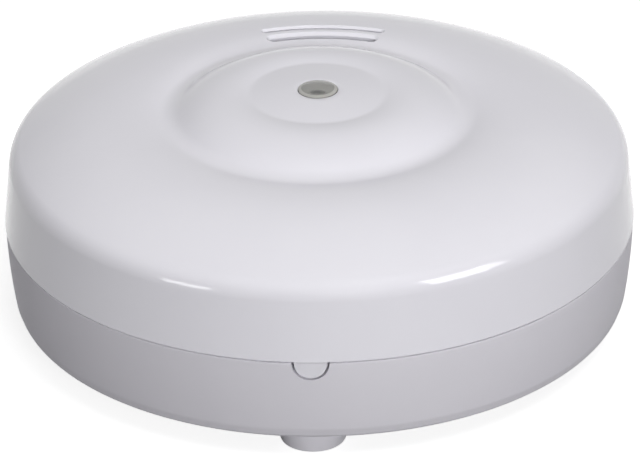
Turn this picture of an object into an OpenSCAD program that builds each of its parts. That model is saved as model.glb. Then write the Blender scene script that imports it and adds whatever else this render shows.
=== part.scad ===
// Water leak sensor: a round two-part case on three sensing feet.
// The cover pulls straight up. Two cells, a board and a sounder lie in the base.
// Z is up, the feet stand on z = 0, and the tab of the cover is at the front, at -Y.

/* [Case] */
// Diameter of the cover at the seam, the widest place
case_d = 80; // [79:0.5:88]
// Diameter of the base at its lower edge
base_low_d = 77.9; // [76:0.1:78.6]
// Step from the cover in to the base at the seam
seam_step = 0.1; // [0:0.05:0.3]
// Height of the base from its underside to the seam
base_h = 11.2; // [10:0.1:15]
// Wall of the base
base_wall = 2.2; // [1.8:0.1:2.6]
// Floor of the base
floor_t = 2.2; // [1.6:0.1:2.6]
// Rounding of the lower edge of the base
base_edge_r = 0.8; // [0.4:0.1:1.2]
// Height of the shadow gap that shows as the seam
seam_gap = 0.25; // [0.15:0.05:0.4]
// Depth of the shadow gap
seam_gap_depth = 0.6; // [0.4:0.1:0.9]
// Height of the lip that the cover slides over
lip_h = 3; // [2:0.1:4]
// Thickness of the lip
lip_t = 1.3; // [1:0.1:1.6]
// Depth of the lip's root below the seam
lip_root = 2.3; // [1.5:0.1:3]
// Gap between the lip and the cover
lip_gap = 0.2; // [0.15:0.05:0.4]

/* [Ripple cover] */
// Wall of the cover
cover_wall = 2; // [1.6:0.1:2.2]
// Draft of the side wall, in degrees
cover_draft = 6.3; // [3:0.1:8]
// Height of the straight side wall above the seam
side_h = 7.65; // [6:0.05:12]
// Radius of the rounded shoulder
shoulder_r = 3.1; // [2.4:0.1:4]
// Slope where the outer ring meets the shoulder, in degrees
ring_outer_slope = 30.3; // [26:0.1:33]
// Radius at which the outer ring is highest
crest_r = 23.2; // [21.5:0.1:24.5]
// Curve radius of the crest's inner side
crest_curve_r = 16; // [12:0.5:18]
// Slope of the crest's inner side at the valley, in degrees
crest_inner_slope = 10.8; // [8:0.1:12]
// Curve radius of the outer valley
outer_valley_r = 3.6; // [2.5:0.1:4.5]
// Slope of the middle ring at the outer valley, in degrees
middle_outer_slope = 29.1; // [25:0.1:32]
// Slope of the middle ring at the inner valley, in degrees
middle_inner_slope = 3.4; // [1:0.1:6]
// Curve radius of the inner valley
inner_valley_r = 6.2; // [3:0.1:7]
// Radius of the centre dome
dome_r = 7.5; // [6.5:0.1:9]
// Slope at the edge of the centre dome, in degrees
dome_slope = 10.2; // [8:0.1:15]
// Width of the tab at the front
tab_w = 3.95; // [3:0.05:5]
// Depth of the tab below the seam
tab_depth = 2.25; // [2:0.05:3]
// Thickness of the tab
tab_t = 1.3; // [1:0.1:1.4]
// Gap round the tab in its notch
tab_gap = 0.35; // [0.2:0.05:0.5]

/* [Sound slots] */
// Width of the inner slot
inner_slot_w = 1.9; // [1.4:0.1:2]
// Width of the outer slot
outer_slot_w = 1.4; // [1:0.1:1.6]
// Radius of the inner slot's middle line
inner_slot_r = 21.9; // [21.5:0.1:22.5]
// Distance from the inner slot's middle line to the outer slot's
slot_pitch = 2.5; // [2.4:0.1:4]
// Angle that each slot spans from end to end, in degrees
slot_span = 38.4; // [25:0.2:50]

/* [Light guide] */
// Diameter of the light guide
guide_d = 5; // [4:0.1:6]
// Height of the guide's domed face above the cover
guide_proud = 0.4; // [0.2:0.05:0.8]
// Gap between the guide and its hole
guide_gap = 0.05; // [0.02:0.01:0.1]
// Wall of the guide's boss in the cover
guide_boss_wall = 1.6; // [1:0.1:2]
// Depth of the boss below the cover's inner face
guide_boss_h = 3; // [2:0.1:4]
// Thickness of the guide's collar
collar_t = 1; // [0.8:0.1:1.5]
// Width of the guide's collar
collar_w = 1; // [0.6:0.1:1.5]
// Gap between the guide and the lamp below it
guide_lamp_gap = 0.5; // [0.3:0.1:0.9]

/* [Feet and sensing contacts] */
// Height of the feet
foot_h = 2.8; // [2.5:0.1:5]
// Diameter of a foot at the floor
foot_d = 8.1; // [7:0.1:8.6]
// Draft added to a foot's diameter at the base
foot_flare = 0.4; // [0:0.1:0.8]
// Distance of the feet's middles in from the base's lower edge
foot_inset = 5.55; // [5:0.05:6.6]
// Diameter of a contact's pad
pad_d = 4.2; // [3.4:0.1:4.6]
// Thickness of a contact's pad
pad_t = 1; // [0.8:0.1:1.4]
// Distance of the pads above the floor
pad_lift = 0.3; // [0.2:0.05:0.6]
// Diameter of a contact's stem
stem_d = 2; // [1.6:0.1:2.2]
// Gap round pads and stems
stem_gap = 0.05; // [0.02:0.01:0.1]
// Width of a nut across its flats
nut_af = 4; // [3.6:0.1:4.2]
// Thickness of a nut
nut_t = 1.6; // [1.2:0.1:2]
// Thickness of a solder tag
tag_t = 0.4; // [0.3:0.1:0.5]
// Length of a solder tag's tongue from the stem
tag_l = 6; // [5:0.1:6.5]
// Width of a solder tag's tongue
tag_w = 1.8; // [1.4:0.1:2.4]

/* [Cells] */
// Diameter of a cell
cell_d = 10.5; // [10:0.1:10.8]
// Length of a cell from end to end
cell_l = 44.5; // [42:0.1:44.8]
// Diameter of the positive nub
nub_d = 3.8; // [3:0.1:4.5]
// Length of the positive nub
nub_l = 1; // [0.8:0.1:1.4]
// Thickness of the jacket round a cell
jacket_t = 0.2; // [0.1:0.05:0.3]
// Distance between the two cells' axes
cell_pitch = 11; // [10.9:0.1:11.5]
// Place of the rear cell's axis, in front of the case's axis
cell_rear_y = 8.8; // [8.7:0.1:9.2]
// Height of the cells above the base's floor
cell_lift = 1.6; // [1.5:0.1:2]
// Gap between a cell and its saddle
saddle_gap = 0.15; // [0.1:0.05:0.3]
// Thickness of a saddle rib
saddle_t = 1.6; // [1.2:0.1:2]
// Distance of the saddle ribs from the middle
saddle_x = 13; // [8:0.5:16]
// Thickness of the end walls
end_wall_t = 1.6; // [1.2:0.1:2]
// Height of the end walls above the cells' axes
end_wall_h = 4; // [3:0.1:5]
// Thickness of the contact plates
plate_t = 0.4; // [0.3:0.05:0.6]
// Width and height of a contact plate
plate_w = 8.6; // [7:0.1:9.4]
// Thickness of the rails that hold the contact plates
rail_t = 0.6; // [0.5:0.05:0.65]
// Reach of a rail over the edge of its plate
rail_over = 0.5; // [0.3:0.05:0.6]
// Gap between a plate and its rails
rail_gap = 0.1; // [0.05:0.05:0.15]
// Width of a plate's solder tail
tail_w = 2.4; // [2:0.1:3]
// Height of a plate's solder tail above the end wall
tail_h = 2.6; // [2.2:0.1:3.2]
// Length of a pressed-in spring
spring_l = 4; // [3.5:0.1:4.5]
// Diameter of a spring at its plate
spring_d = 7; // [5.5:0.1:7.6]
// Diameter of a spring at the cell
spring_tip_d = 4.2; // [3.5:0.1:5]
// Diameter of the spring wire
spring_wire = 0.6; // [0.4:0.05:0.7]
// Turns of a spring
spring_turns = 4; // [3:1:5]
// Gap between a cell's ends and its contacts
contact_gap = 0.1; // [0.05:0.05:0.2]

/* [Board] */
// Radius of the board's round edge
board_r = 30.5; // [30:0.1:31]
// Place of the board's straight edge, in front of the case's axis
board_front = 2.9; // [2.8:0.05:3]
// Thickness of the board
board_t = 1.6; // [1:0.1:2]
// Height of the board above the base's floor
board_lift = 4; // [3.6:0.1:5]
// Diameter of a screw post
post_d = 5; // [4.4:0.1:5.4]
// Diameter of a screw's shank
screw_d = 1.9; // [1.6:0.1:2.2]
// Length of a screw's shank
screw_l = 5; // [4:0.1:5.4]
// Diameter of a screw's head
screw_head_d = 3.8; // [3.4:0.1:4.2]
// Height of a screw's head
screw_head_h = 1.5; // [1.2:0.1:2]
// Gap round a screw's shank
screw_gap = 0.1; // [0.05:0.05:0.2]
// Diameter of the insulated leads
lead_d = 1.1; // [0.9:0.1:1.2]
// Gap that the solder fills at the ends of the leads
solder_gap = 0.1; // [0.08:0.01:0.15]
// Distance of a lying lead above the floor
lead_lift = 0.15; // [0.1:0.05:0.3]
// Distance that the red lead swings out past its plate's tail
red_swing = 3.2; // [2:0.1:4]
// Distance that the black lead swings out past its plate's tail
black_swing = 1.2; // [0.8:0.1:1.6]

/* [Lamp] */
// Diameter of the lamp
lamp_d = 5; // [3:0.1:5]
// Diameter of the lamp's rim
lamp_rim_d = 5.8; // [5.2:0.1:5.8]
// Height of the lamp's rim
lamp_rim_h = 1; // [0.8:0.1:1.4]
// Height of the lamp from its seat to the top of its dome
lamp_h = 8.6; // [7:0.1:9]
// Distance between the lamp's pins
pin_pitch = 2.54; // [2:0.01:2.6]
// Width of a square pin
pin_w = 0.5; // [0.4:0.05:0.6]
// Length of the pins below the board
pin_out = 1.2; // [0.8:0.1:1.6]
// Gap round the pins in the board
pin_gap = 0.15; // [0.1:0.05:0.25]

/* [Sounder] */
// Outer diameter of the sounder's holder
holder_d = 23; // [21:0.5:24]
// Height of the sounder's holder
holder_h = 6; // [5:0.1:8]
// Wall of the sounder's holder
holder_wall = 1.6; // [1.2:0.1:2]
// Place of the sounder behind the case's axis
holder_y = 17; // [16.5:0.1:17.5]
// Width of the ledge that the disc lies on
ledge_w = 1; // [0.8:0.1:1.4]
// Depth of the disc below the holder's rim
disc_depth = 1; // [0.8:0.1:1.5]
// Thickness of the brass disc
disc_t = 0.3; // [0.2:0.05:0.4]
// Gap round the disc
disc_gap = 0.15; // [0.1:0.05:0.3]
// Diameter of the ceramic on the disc
ceramic_d = 14; // [12:0.5:15]
// Thickness of the ceramic
ceramic_t = 0.25; // [0.2:0.05:0.4]
// Diameter of the sounder's thin leads
thin_lead_d = 0.7; // [0.5:0.05:0.8]
// Height of the thin leads' arch above the disc
thin_lead_arch = 2; // [1.9:0.05:2.4]

/* [Parts on the board] */
// Length of the controller chip
chip_l = 9.6; // [9:0.1:10]
// Width of the controller chip
chip_w = 6.4; // [6:0.1:6.6]
// Height of the controller chip
chip_h = 3.4; // [3:0.1:3.8]
// Height of the chip's underside above the board
chip_lift = 0.5; // [0.3:0.1:0.8]
// Diameter of the step-up coil
coil_d = 8.4; // [7.5:0.1:8.8]
// Height of the step-up coil
coil_h = 7.5; // [6:0.1:9]
// Thickness of the coil's flanges
coil_flange_t = 1.2; // [1:0.1:1.5]
// Depth of the winding's surface inside the flanges
coil_wind_in = 0.7; // [0.4:0.1:1]
// Diameter of the coil's core
coil_core_d = 4; // [3.5:0.1:5]
// Diameter of the capacitor can
can_d = 5; // [4:0.1:5.4]
// Height of the capacitor can
can_h = 8; // [7:0.1:10]
// Diameter of the transistor
transistor_d = 4.8; // [4.4:0.1:5]
// Height of the transistor's body
transistor_h = 4.6; // [4.2:0.1:5]
// Height of the transistor's body above the board
transistor_lift = 1.6; // [1:0.1:2.5]
// Diameter of a resistor
resistor_d = 2.2; // [1.8:0.1:2.5]
// Length of a resistor
resistor_l = 6; // [5:0.1:6.5]
// Diameter of a resistor's wire
resistor_wire = 0.6; // [0.5:0.05:0.7]
// Distance between a resistor's wires
resistor_pitch = 9.4; // [9:0.1:10]
// Diameter of a disc capacitor
pill_d = 4; // [3.5:0.1:4.4]
// Thickness of a disc capacitor
pill_t = 1.6; // [1.2:0.1:2]
// Height of a disc capacitor above the board
pill_lift = 0.8; // [0.5:0.1:1.2]

/* [Hidden] */
$fn = 96;

// A little more than nothing, so that cuts pass right through and unions share volume
eps = 0.05;
// Steps along one arc of a profile
arc_steps = 8;

// Heights
base_z = foot_h;
floor_z = base_z + floor_t;
seam_z = base_z + base_h;
board_z = floor_z + board_lift;
board_top = board_z + board_t;
cell_z = floor_z + cell_lift + cell_d / 2;

// Radii at the seam
case_r = case_d / 2;
base_low_r = base_low_d / 2;
base_top_r = case_r - seam_step;
cover_in_r = case_r - cover_wall / cos(cover_draft);

// Places on the plan
foot_angles = [-90, 150, 30];
foot_r = base_low_r - foot_inset;
cell_front_y = -cell_rear_y - cell_pitch;
bay_half = (cell_l + spring_l) / 2 + plate_t;
plate_face = bay_half - plate_t;
bay_mid_y = (cell_front_y - cell_rear_y) / 2;
bay_w = cell_pitch + cell_d;
post_places = [[26, 8], [16, 23], [-16, 23], [-26, 8]];
chip_place = [-17, 5];
coil_place = [17, 8];
can_place = [10.5, 1.6];
transistor_place = [-8.2, 0.8];
resistor_places = [[-18.6, 12.6], [-18.6, 16], [18.8, 14.6], [17.6, 17.8]];
pill_places = [[-8.6, 6], [5.8, 4.8]];
red_place = [25.4, 2.8];
black_place = [22.4, 0.6];

// Routes of the leads, from end to end
function between(low, high, share) = low + (high - low) * share;

front_place = [4.4, 1];
tag_end = foot_r - tag_l;
tag_wire_z = floor_z + tag_t + lead_d / 2 + solder_gap;
floor_wire_z = floor_z + lead_d / 2 + lead_lift;
under_board = board_z - solder_gap;
over_board = board_top + solder_gap;
sensor_front_route = [
    [0, -tag_end - tag_l / 10, tag_wire_z],
    [front_place.x / 8, -tag_end + tag_l / 4, tag_wire_z],
    [front_place.x / 2, cell_front_y - cell_d / 5, floor_wire_z],
    [front_place.x * 0.8, cell_front_y + cell_d / 3, floor_wire_z],
    [front_place.x * 0.9, -cell_rear_y, floor_wire_z],
    [front_place.x, -board_front, floor_wire_z],
    [front_place.x, front_place.y - lead_d / 2, between(floor_wire_z, under_board, 0.25)],
    [front_place.x, front_place.y, between(floor_wire_z, under_board, 0.7)],
    [front_place.x, front_place.y, under_board]
];
sensor_side_route = [
    [tag_end + tag_l / 5, 0, tag_wire_z],
    [tag_end, 0, tag_wire_z],
    [tag_end - lead_d, 0, between(tag_wire_z, under_board, 0.2)],
    [tag_end - 1.7 * lead_d, 0, between(tag_wire_z, under_board, 0.65)],
    [tag_end - 1.7 * lead_d, 0, under_board]
];
tail_top = cell_z + end_wall_h + tail_h;
wire_z = tail_top - lead_d;
tail_x = bay_half + 2 * solder_gap;
battery_red_route = [
    [tail_x, cell_front_y, wire_z],
    [tail_x + red_swing * 0.3, cell_front_y, wire_z],
    [tail_x + red_swing * 0.75, cell_front_y + cell_d / 3, wire_z],
    [tail_x + red_swing, -cell_rear_y - cell_d / 3, between(over_board, wire_z, 0.97)],
    [tail_x + red_swing, -cell_rear_y + cell_d / 4, between(over_board, wire_z, 0.85)],
    [tail_x + red_swing * 0.7, -board_front / 3, between(over_board, wire_z, 0.55)],
    [red_place.x, red_place.y - solder_gap, between(over_board, wire_z, 0.36)],
    [red_place.x, red_place.y, between(over_board, wire_z, 0.15)],
    [red_place.x, red_place.y, over_board]
];
battery_black_route = [
    [tail_x, -cell_rear_y, wire_z],
    [tail_x + black_swing * 0.6, -cell_rear_y, wire_z],
    [tail_x + black_swing, -cell_rear_y + cell_d / 4, wire_z],
    [tail_x + black_swing * 0.2, -board_front * 0.8, between(over_board, wire_z, 0.85)],
    [black_place.x, black_place.y - solder_gap, between(over_board, wire_z, 0.4)],
    [black_place.x, black_place.y, between(over_board, wire_z, 0.15)],
    [black_place.x, black_place.y, over_board]
];
disc_z = board_top + holder_h - disc_depth;
disc_r = holder_d / 2 - holder_wall - disc_gap;
arch_z = disc_z + thin_lead_arch;
sounder_mid = [0, holder_y];
ceramic_joint = sounder_mid + ceramic_d / 3 * [cos(63), -sin(63)];
disc_joint = sounder_mid + (ceramic_d / 4 + disc_r / 2) * [cos(49), -sin(49)];
thin_places = [[8.7, 6.2], [10.6, 7.3]];
thin_bends = [
    [[4.6, 10.6], [6.8, 8.7], [8.4, 6.6]],
    [[7.4, 9.8], [9, 8.6], [10.4, 7.6]]
];

function thin_route(joint, joint_z, bends, place) = [
    [joint.x, joint.y, joint_z + solder_gap],
    [joint.x, joint.y, between(disc_z, arch_z, 0.6)],
    [bends[0].x, bends[0].y, arch_z],
    [bends[1].x, bends[1].y, between(disc_z, arch_z, 0.95)],
    [bends[2].x, bends[2].y, disc_z],
    [place.x, place.y, between(over_board, disc_z, 0.3)],
    [place.x, place.y, over_board]
];

sounder_routes = [
    thin_route(ceramic_joint, disc_z + ceramic_t, thin_bends[0], thin_places[0]),
    thin_route(disc_joint, disc_z, thin_bends[1], thin_places[1])
];

// Points of an arc whose surface leans by the angles a to b from level
function arc_points(centre, radius, a, b) =
    [for (i = [0 : arc_steps])
        let (t = a + (b - a) * i / arc_steps)
        [centre.x + radius * sin(t), centre.y + radius * cos(t)]];

// Smooth curve through the points of a route
function smooth_route(p, steps) = concat(
    [for (i = [0 : len(p) - 2])
        let (
            before = p[max(i - 1, 0)],
            after = p[min(i + 2, len(p) - 1)]
        )
        for (k = [0 : steps - 1])
            let (t = k / steps)
            0.5 * ((2 * p[i]) + (p[i + 1] - before) * t
                + (2 * before - 5 * p[i] + 4 * p[i + 1] - after) * t * t
                + (3 * p[i] - before - 3 * p[i + 1] + after) * t * t * t)],
    [p[len(p) - 1]]);

function unit(v) = v / norm(v);

// Direction of a route at point i
function heading(p, i) = unit(p[min(i + 1, len(p) - 1)] - p[max(i - 1, 0)]);

// Round tube along a list of points
module tube_along(p, radius, sides, side_hint) {
    rings = [for (i = [0 : len(p) - 1])
        let (
            forward = heading(p, i),
            right = unit(cross(forward, side_hint)),
            upward = cross(right, forward)
        )
        for (k = [0 : sides - 1])
            p[i] + radius * (cos(360 * k / sides) * right + sin(360 * k / sides) * upward)];
    last = (len(p) - 1) * sides;
    walls = [for (i = [0 : len(p) - 2], k = [0 : sides - 1], half = [0, 1])
        let (a = i * sides + k, b = i * sides + (k + 1) % sides)
        half == 0 ? [a, a + sides, b] : [b, a + sides, b + sides]];
    caps = [for (k = [1 : sides - 2], end = [0, 1])
        end == 0 ? [0, k, k + 1] : [last, last + k + 1, last + k]];
    polyhedron(points = rings, faces = concat(walls, caps), convexity = 6);
}

// Insulated lead along a route
module lead(route, diameter) {
    tube_along(smooth_route(route, 4), diameter / 2, 8, [0.31, 0.19, 0.93]);
}

// Ripple profile of the cover, moved in from the outer face by an inset
wall_top = [case_r - side_h * tan(cover_draft), side_h];
shoulder_c = wall_top - shoulder_r * [cos(cover_draft), sin(cover_draft)];
ring_end = shoulder_c + shoulder_r * [sin(ring_outer_slope), cos(ring_outer_slope)];
ring_r = (ring_end.x - crest_r) / sin(ring_outer_slope);
ring_c = ring_end - ring_r * [sin(ring_outer_slope), cos(ring_outer_slope)];
crest_h = ring_c.y + ring_r;
crest_c = [crest_r, crest_h - crest_curve_r];
crest_end = crest_c + crest_curve_r * [-sin(crest_inner_slope), cos(crest_inner_slope)];
valley_c = crest_end + outer_valley_r * [-sin(crest_inner_slope), cos(crest_inner_slope)];
valley_end = valley_c - outer_valley_r * [sin(middle_outer_slope), cos(middle_outer_slope)];
middle_start_x = dome_r + inner_valley_r * (sin(dome_slope) + sin(middle_inner_slope));
middle_r = (valley_end.x - middle_start_x) / (sin(middle_outer_slope) + sin(middle_inner_slope));
middle_c = valley_end - middle_r * [sin(middle_outer_slope), cos(middle_outer_slope)];
middle_end = middle_c + middle_r * [-sin(middle_inner_slope), cos(middle_inner_slope)];
inner_c = middle_end + inner_valley_r * [-sin(middle_inner_slope), cos(middle_inner_slope)];
inner_end = inner_c - inner_valley_r * [sin(dome_slope), cos(dome_slope)];
dome_curve_r = inner_end.x / sin(dome_slope);
dome_c = [0, inner_end.y - dome_curve_r * cos(dome_slope)];
cover_h = dome_c.y + dome_curve_r;

function cover_profile(inset) = concat(
    [[case_r - inset / cos(cover_draft), 0]],
    arc_points(shoulder_c, shoulder_r - inset, 90 - cover_draft, ring_outer_slope),
    arc_points(ring_c, ring_r - inset, ring_outer_slope, 0),
    arc_points(crest_c, crest_curve_r - inset, 0, -crest_inner_slope),
    arc_points(valley_c, -outer_valley_r - inset, -crest_inner_slope, middle_outer_slope),
    arc_points(middle_c, middle_r - inset, middle_outer_slope, -middle_inner_slope),
    arc_points(inner_c, -inner_valley_r - inset, -middle_inner_slope, dome_slope),
    arc_points(dome_c, dome_curve_r - inset, dome_slope, 0));

function reversed(list) = [for (i = [len(list) - 1 : -1 : 0]) list[i]];

// Outer radius of the base's wall at a height above its underside
function base_outer(h) = base_low_r + (base_top_r - base_low_r) * h / base_h;

// Outer radius of the lip at a height above the seam
function lip_outer(h) = cover_in_r - h * tan(cover_draft) - lip_gap;

// Half-round tongue shape at the front of the seam, grown by a margin
module tab_prism(margin) {
    radius = tab_w / 2 + margin;
    round_z = seam_z - tab_depth + tab_w / 2;
    translate([0, -case_r / 2, round_z])
        rotate([90, 0, 0])
            cylinder(r = radius, h = case_r);
    translate([-radius, -case_r * 1.5, round_z])
        cube([2 * radius, case_r, seam_z - round_z + seam_gap]);
}

// Skin of the base's wall from its outer face in to a depth, near the seam
module wall_skin(depth, over, below, top) {
    rotate_extrude()
        polygon([
            [base_outer(base_h - below) - depth, seam_z - below],
            [base_outer(base_h - below) + over, seam_z - below],
            [base_top_r + over, top],
            [base_top_r - depth, top]
        ]);
}

// Copies the children to the three feet, each turned to face away from the axis
module at_feet() {
    for (a = foot_angles)
        rotate([0, 0, a])
            translate([foot_r, 0, 0])
                children();
}

// Base with its wall, lip, feet, cell saddles and board posts
lip_in = lip_outer(0) - lip_t;
lip_slope_h = 1.2;
skirt_low = seam_z - lip_root - lip_slope_h;
pad_seat = pad_lift + pad_t;
wall_in_low = base_outer(floor_t) - base_wall;
edge_c = [base_low_r - base_edge_r, base_z + base_edge_r];
notch_t = tab_t + tab_gap;

module base_section() {
    polygon(concat(
        [[0, base_z]],
        reversed(arc_points(edge_c, base_edge_r, 90, 180)),
        [
            [base_top_r, seam_z - seam_gap],
            [base_top_r - seam_gap_depth, seam_z - seam_gap],
            [base_top_r - seam_gap_depth, seam_z],
            [lip_outer(0), seam_z],
            [lip_outer(lip_h), seam_z + lip_h],
            [lip_in, seam_z + lip_h],
            [lip_in, seam_z - lip_root],
            [base_outer(base_h - lip_root - lip_slope_h) - base_wall, skirt_low],
            [wall_in_low, floor_z],
            [0, floor_z]
        ]));
}

// Rib across the bay with a seat for each cell
module saddle(x) {
    difference() {
        translate([x - saddle_t / 2, bay_mid_y - bay_w / 2, floor_z - eps])
            cube([saddle_t, bay_w, cell_z - floor_z + eps]);
        for (y = [cell_front_y, -cell_rear_y])
            translate([x - saddle_t, y, cell_z])
                rotate([0, 90, 0])
                    cylinder(r = cell_d / 2 + saddle_gap, h = 2 * saddle_t);
    }
}

// Place for a contact plate against an end wall: a ledge under it and a rail over each side
module plate_seat(middle_y, width) {
    half = width / 2 + rail_gap;
    wall_h = cell_z + end_wall_h - floor_z + eps;
    ledge_h = cell_z - plate_w / 2 - floor_z + eps;
    translate([0, middle_y, floor_z - eps]) {
        translate([plate_face - rail_gap, -half - rail_t, 0])
            cube([plate_t + rail_gap + eps, 2 * half + 2 * rail_t, ledge_h]);
        for (side = [0, 1])
            mirror([0, side, 0]) {
                translate([plate_face - rail_gap - rail_t, half, 0])
                    cube([plate_t + rail_gap + rail_t + eps, rail_t, wall_h]);
                translate([plate_face - rail_gap - rail_t, half - rail_gap - rail_over, 0])
                    cube([rail_t, rail_over + rail_gap + eps, wall_h]);
            }
    }
}

module end_wall() {
    translate([bay_half, bay_mid_y - bay_w / 2, floor_z - eps])
        cube([end_wall_t, bay_w, cell_z + end_wall_h - floor_z + eps]);
}

// End walls of the cell bay: two plates to the right, one long plate to the left
module bay_ends() {
    end_wall();
    for (y = [cell_front_y, -cell_rear_y]) plate_seat(y, plate_w);
    mirror([1, 0, 0]) {
        end_wall();
        plate_seat(bay_mid_y, cell_pitch + plate_w);
    }
}

module base_shell() {
    color([0.90, 0.90, 0.92])
        difference() {
            union() {
                rotate_extrude() base_section();
                at_feet()
                    cylinder(d1 = foot_d, d2 = foot_d + foot_flare, h = base_z + floor_t / 2);
                for (x = [-saddle_x, saddle_x]) saddle(x);
                bay_ends();
                for (p = post_places)
                    translate([p.x, p.y, floor_z - eps])
                        cylinder(d = post_d, h = board_lift + eps);
            }
            at_feet() {
                translate([0, 0, -eps])
                    cylinder(d = pad_d + 2 * stem_gap, h = pad_seat + eps);
                cylinder(d = stem_d + 2 * stem_gap, h = floor_z + eps);
            }
            for (p = post_places)
                translate([p.x, p.y, board_top - screw_l - screw_gap])
                    cylinder(d = screw_d + 2 * screw_gap, h = screw_l);
            intersection() {
                tab_prism(tab_gap);
                wall_skin(notch_t, tab_gap, tab_depth + 2 * tab_gap, seam_z + eps);
            }
        }
}

// Cover with its ripples, sound slots, guide boss and front tab
module sound_slot(radius, width) {
    low = seam_z + crest_h - 2 * cover_wall - width;
    height = 3 * cover_wall + width;
    reach = slot_span / 2 - asin(width / 2 / radius);
    translate([0, 0, low]) {
        rotate([0, 0, 90 - reach])
            rotate_extrude(angle = 2 * reach)
                translate([radius - width / 2, 0])
                    square([width, height]);
        for (a = [-reach, reach])
            rotate([0, 0, 90 + a])
                translate([radius, 0, 0])
                    cylinder(d = width, h = height);
    }
}

boss_low = seam_z + cover_h - cover_wall - guide_boss_h;
guide_bore = guide_d + 2 * guide_gap;

module upper_cover() {
    color([0.93, 0.93, 0.95])
        difference() {
            union() {
                translate([0, 0, seam_z])
                    rotate_extrude()
                        polygon(concat(cover_profile(0), reversed(cover_profile(cover_wall))));
                translate([0, 0, boss_low])
                    cylinder(d = guide_bore + 2 * guide_boss_wall, h = guide_boss_h + cover_wall / 2);
                intersection() {
                    tab_prism(0);
                    wall_skin(tab_t, 0, tab_depth + tab_gap, seam_z + seam_gap / 2);
                }
            }
            translate([0, 0, boss_low - eps])
                cylinder(d = guide_bore, h = guide_boss_h + 2 * cover_wall);
            sound_slot(inner_slot_r, inner_slot_w);
            sound_slot(inner_slot_r + slot_pitch, outer_slot_w);
        }
}

// Clear light guide with a domed face, a collar under the boss and a rod down to the lamp
lamp_top = board_top + lamp_h;
guide_low = lamp_top + guide_lamp_gap;
guide_face = seam_z + cover_h;

module light_guide() {
    dome_radius = (pow(guide_d / 2, 2) + pow(guide_proud, 2)) / (2 * guide_proud);
    color([0.75, 0.76, 0.72, 0.6])
        union() {
            intersection() {
                translate([0, 0, guide_low])
                    cylinder(d = guide_d, h = guide_face + guide_proud - guide_low + eps);
                translate([0, 0, guide_face + guide_proud - dome_radius])
                    sphere(r = dome_radius);
            }
            translate([0, 0, boss_low - collar_t])
                cylinder(d = guide_d + 2 * collar_w, h = collar_t);
        }
}

// Sensing contact at one foot
module contact_stud(angle) {
    color([0.72, 0.72, 0.74])
        rotate([0, 0, angle])
            translate([foot_r, 0, pad_lift])
                union() {
                    cylinder(d = pad_d, h = pad_t);
                    cylinder(d = stem_d, h = floor_z + tag_t + nut_t + stem_d / 4 - pad_lift);
                }
}

module contact_stud_front() { contact_stud(foot_angles[0]); }
module contact_stud_left() { contact_stud(foot_angles[1]); }
module contact_stud_right() { contact_stud(foot_angles[2]); }

module contact_nuts() {
    color([0.78, 0.76, 0.70])
        at_feet()
            translate([0, 0, floor_z + tag_t])
                difference() {
                    cylinder(d = nut_af / cos(30), h = nut_t, $fn = 6);
                    translate([0, 0, -eps])
                        cylinder(d = stem_d + 2 * stem_gap, h = nut_t + 2 * eps);
                }
}

module solder_tags() {
    color([0.80, 0.79, 0.75])
        at_feet()
            translate([0, 0, floor_z])
                difference() {
                    union() {
                        cylinder(d = nut_af, h = tag_t);
                        translate([-tag_l, -tag_w / 2, 0])
                            cube([tag_l, tag_w, tag_t]);
                    }
                    translate([0, 0, -eps])
                        cylinder(d = stem_d + 2 * stem_gap, h = tag_t + 2 * eps);
                }
}

// Leads from the solder tags to the board
module sensor_lead_front() {
    color([0.15, 0.35, 0.70])
        lead(sensor_front_route, lead_d);
}

module side_lead(angle) {
    color([0.90, 0.80, 0.20])
        rotate([0, 0, angle])
            lead(sensor_side_route, lead_d);
}

module sensor_lead_left() { side_lead(foot_angles[1]); }
module sensor_lead_right() { side_lead(foot_angles[2]); }

// One cell along X, with its positive end towards a side
nub_base = 0.4;
can_body_l = cell_l - nub_l - 2 * contact_gap;

module along_cell(y, side) {
    low = side > 0 ? plate_face - cell_l + contact_gap : -plate_face + cell_l - contact_gap;
    translate([low, y, cell_z])
        rotate([0, side * 90, 0])
            children();
}

module cell_can(y, side) {
    color([0.78, 0.78, 0.76])
        along_cell(y, side) {
            cylinder(d = cell_d - 2 * jacket_t, h = can_body_l);
            cylinder(d = nub_d, h = can_body_l + nub_l);
        }
}

module cell_jacket(y, side) {
    color([0.20, 0.32, 0.50])
        along_cell(y, side)
            translate([0, 0, nub_base])
                difference() {
                    cylinder(d = cell_d, h = can_body_l - 2 * nub_base);
                    translate([0, 0, -eps])
                        cylinder(d = cell_d - 2 * jacket_t, h = can_body_l);
                }
}

module cell_front_can() { cell_can(cell_front_y, 1); }
module cell_front_jacket() { cell_jacket(cell_front_y, 1); }
module cell_rear_can() { cell_can(-cell_rear_y, -1); }
module cell_rear_jacket() { cell_jacket(-cell_rear_y, -1); }

// Contact plate against an end wall, with a tail that a lead is soldered to
module tailed_plate(y) {
    color([0.80, 0.80, 0.78])
        union() {
            translate([plate_face, y - plate_w / 2, cell_z - plate_w / 2])
                cube([plate_t, plate_w, plate_w]);
            translate([plate_face, y - tail_w / 2, cell_z])
                cube([plate_t, tail_w, tail_top - cell_z]);
        }
}

module positive_plate() { tailed_plate(cell_front_y); }
module negative_plate() { tailed_plate(-cell_rear_y); }

module bridge_plate() {
    color([0.80, 0.80, 0.78])
        translate([-bay_half, bay_mid_y - (cell_pitch + plate_w) / 2, cell_z - plate_w / 2])
            cube([plate_t, cell_pitch + plate_w, plate_w]);
}

// Conical spring from a plate towards a cell
spring_rings = 10;

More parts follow.
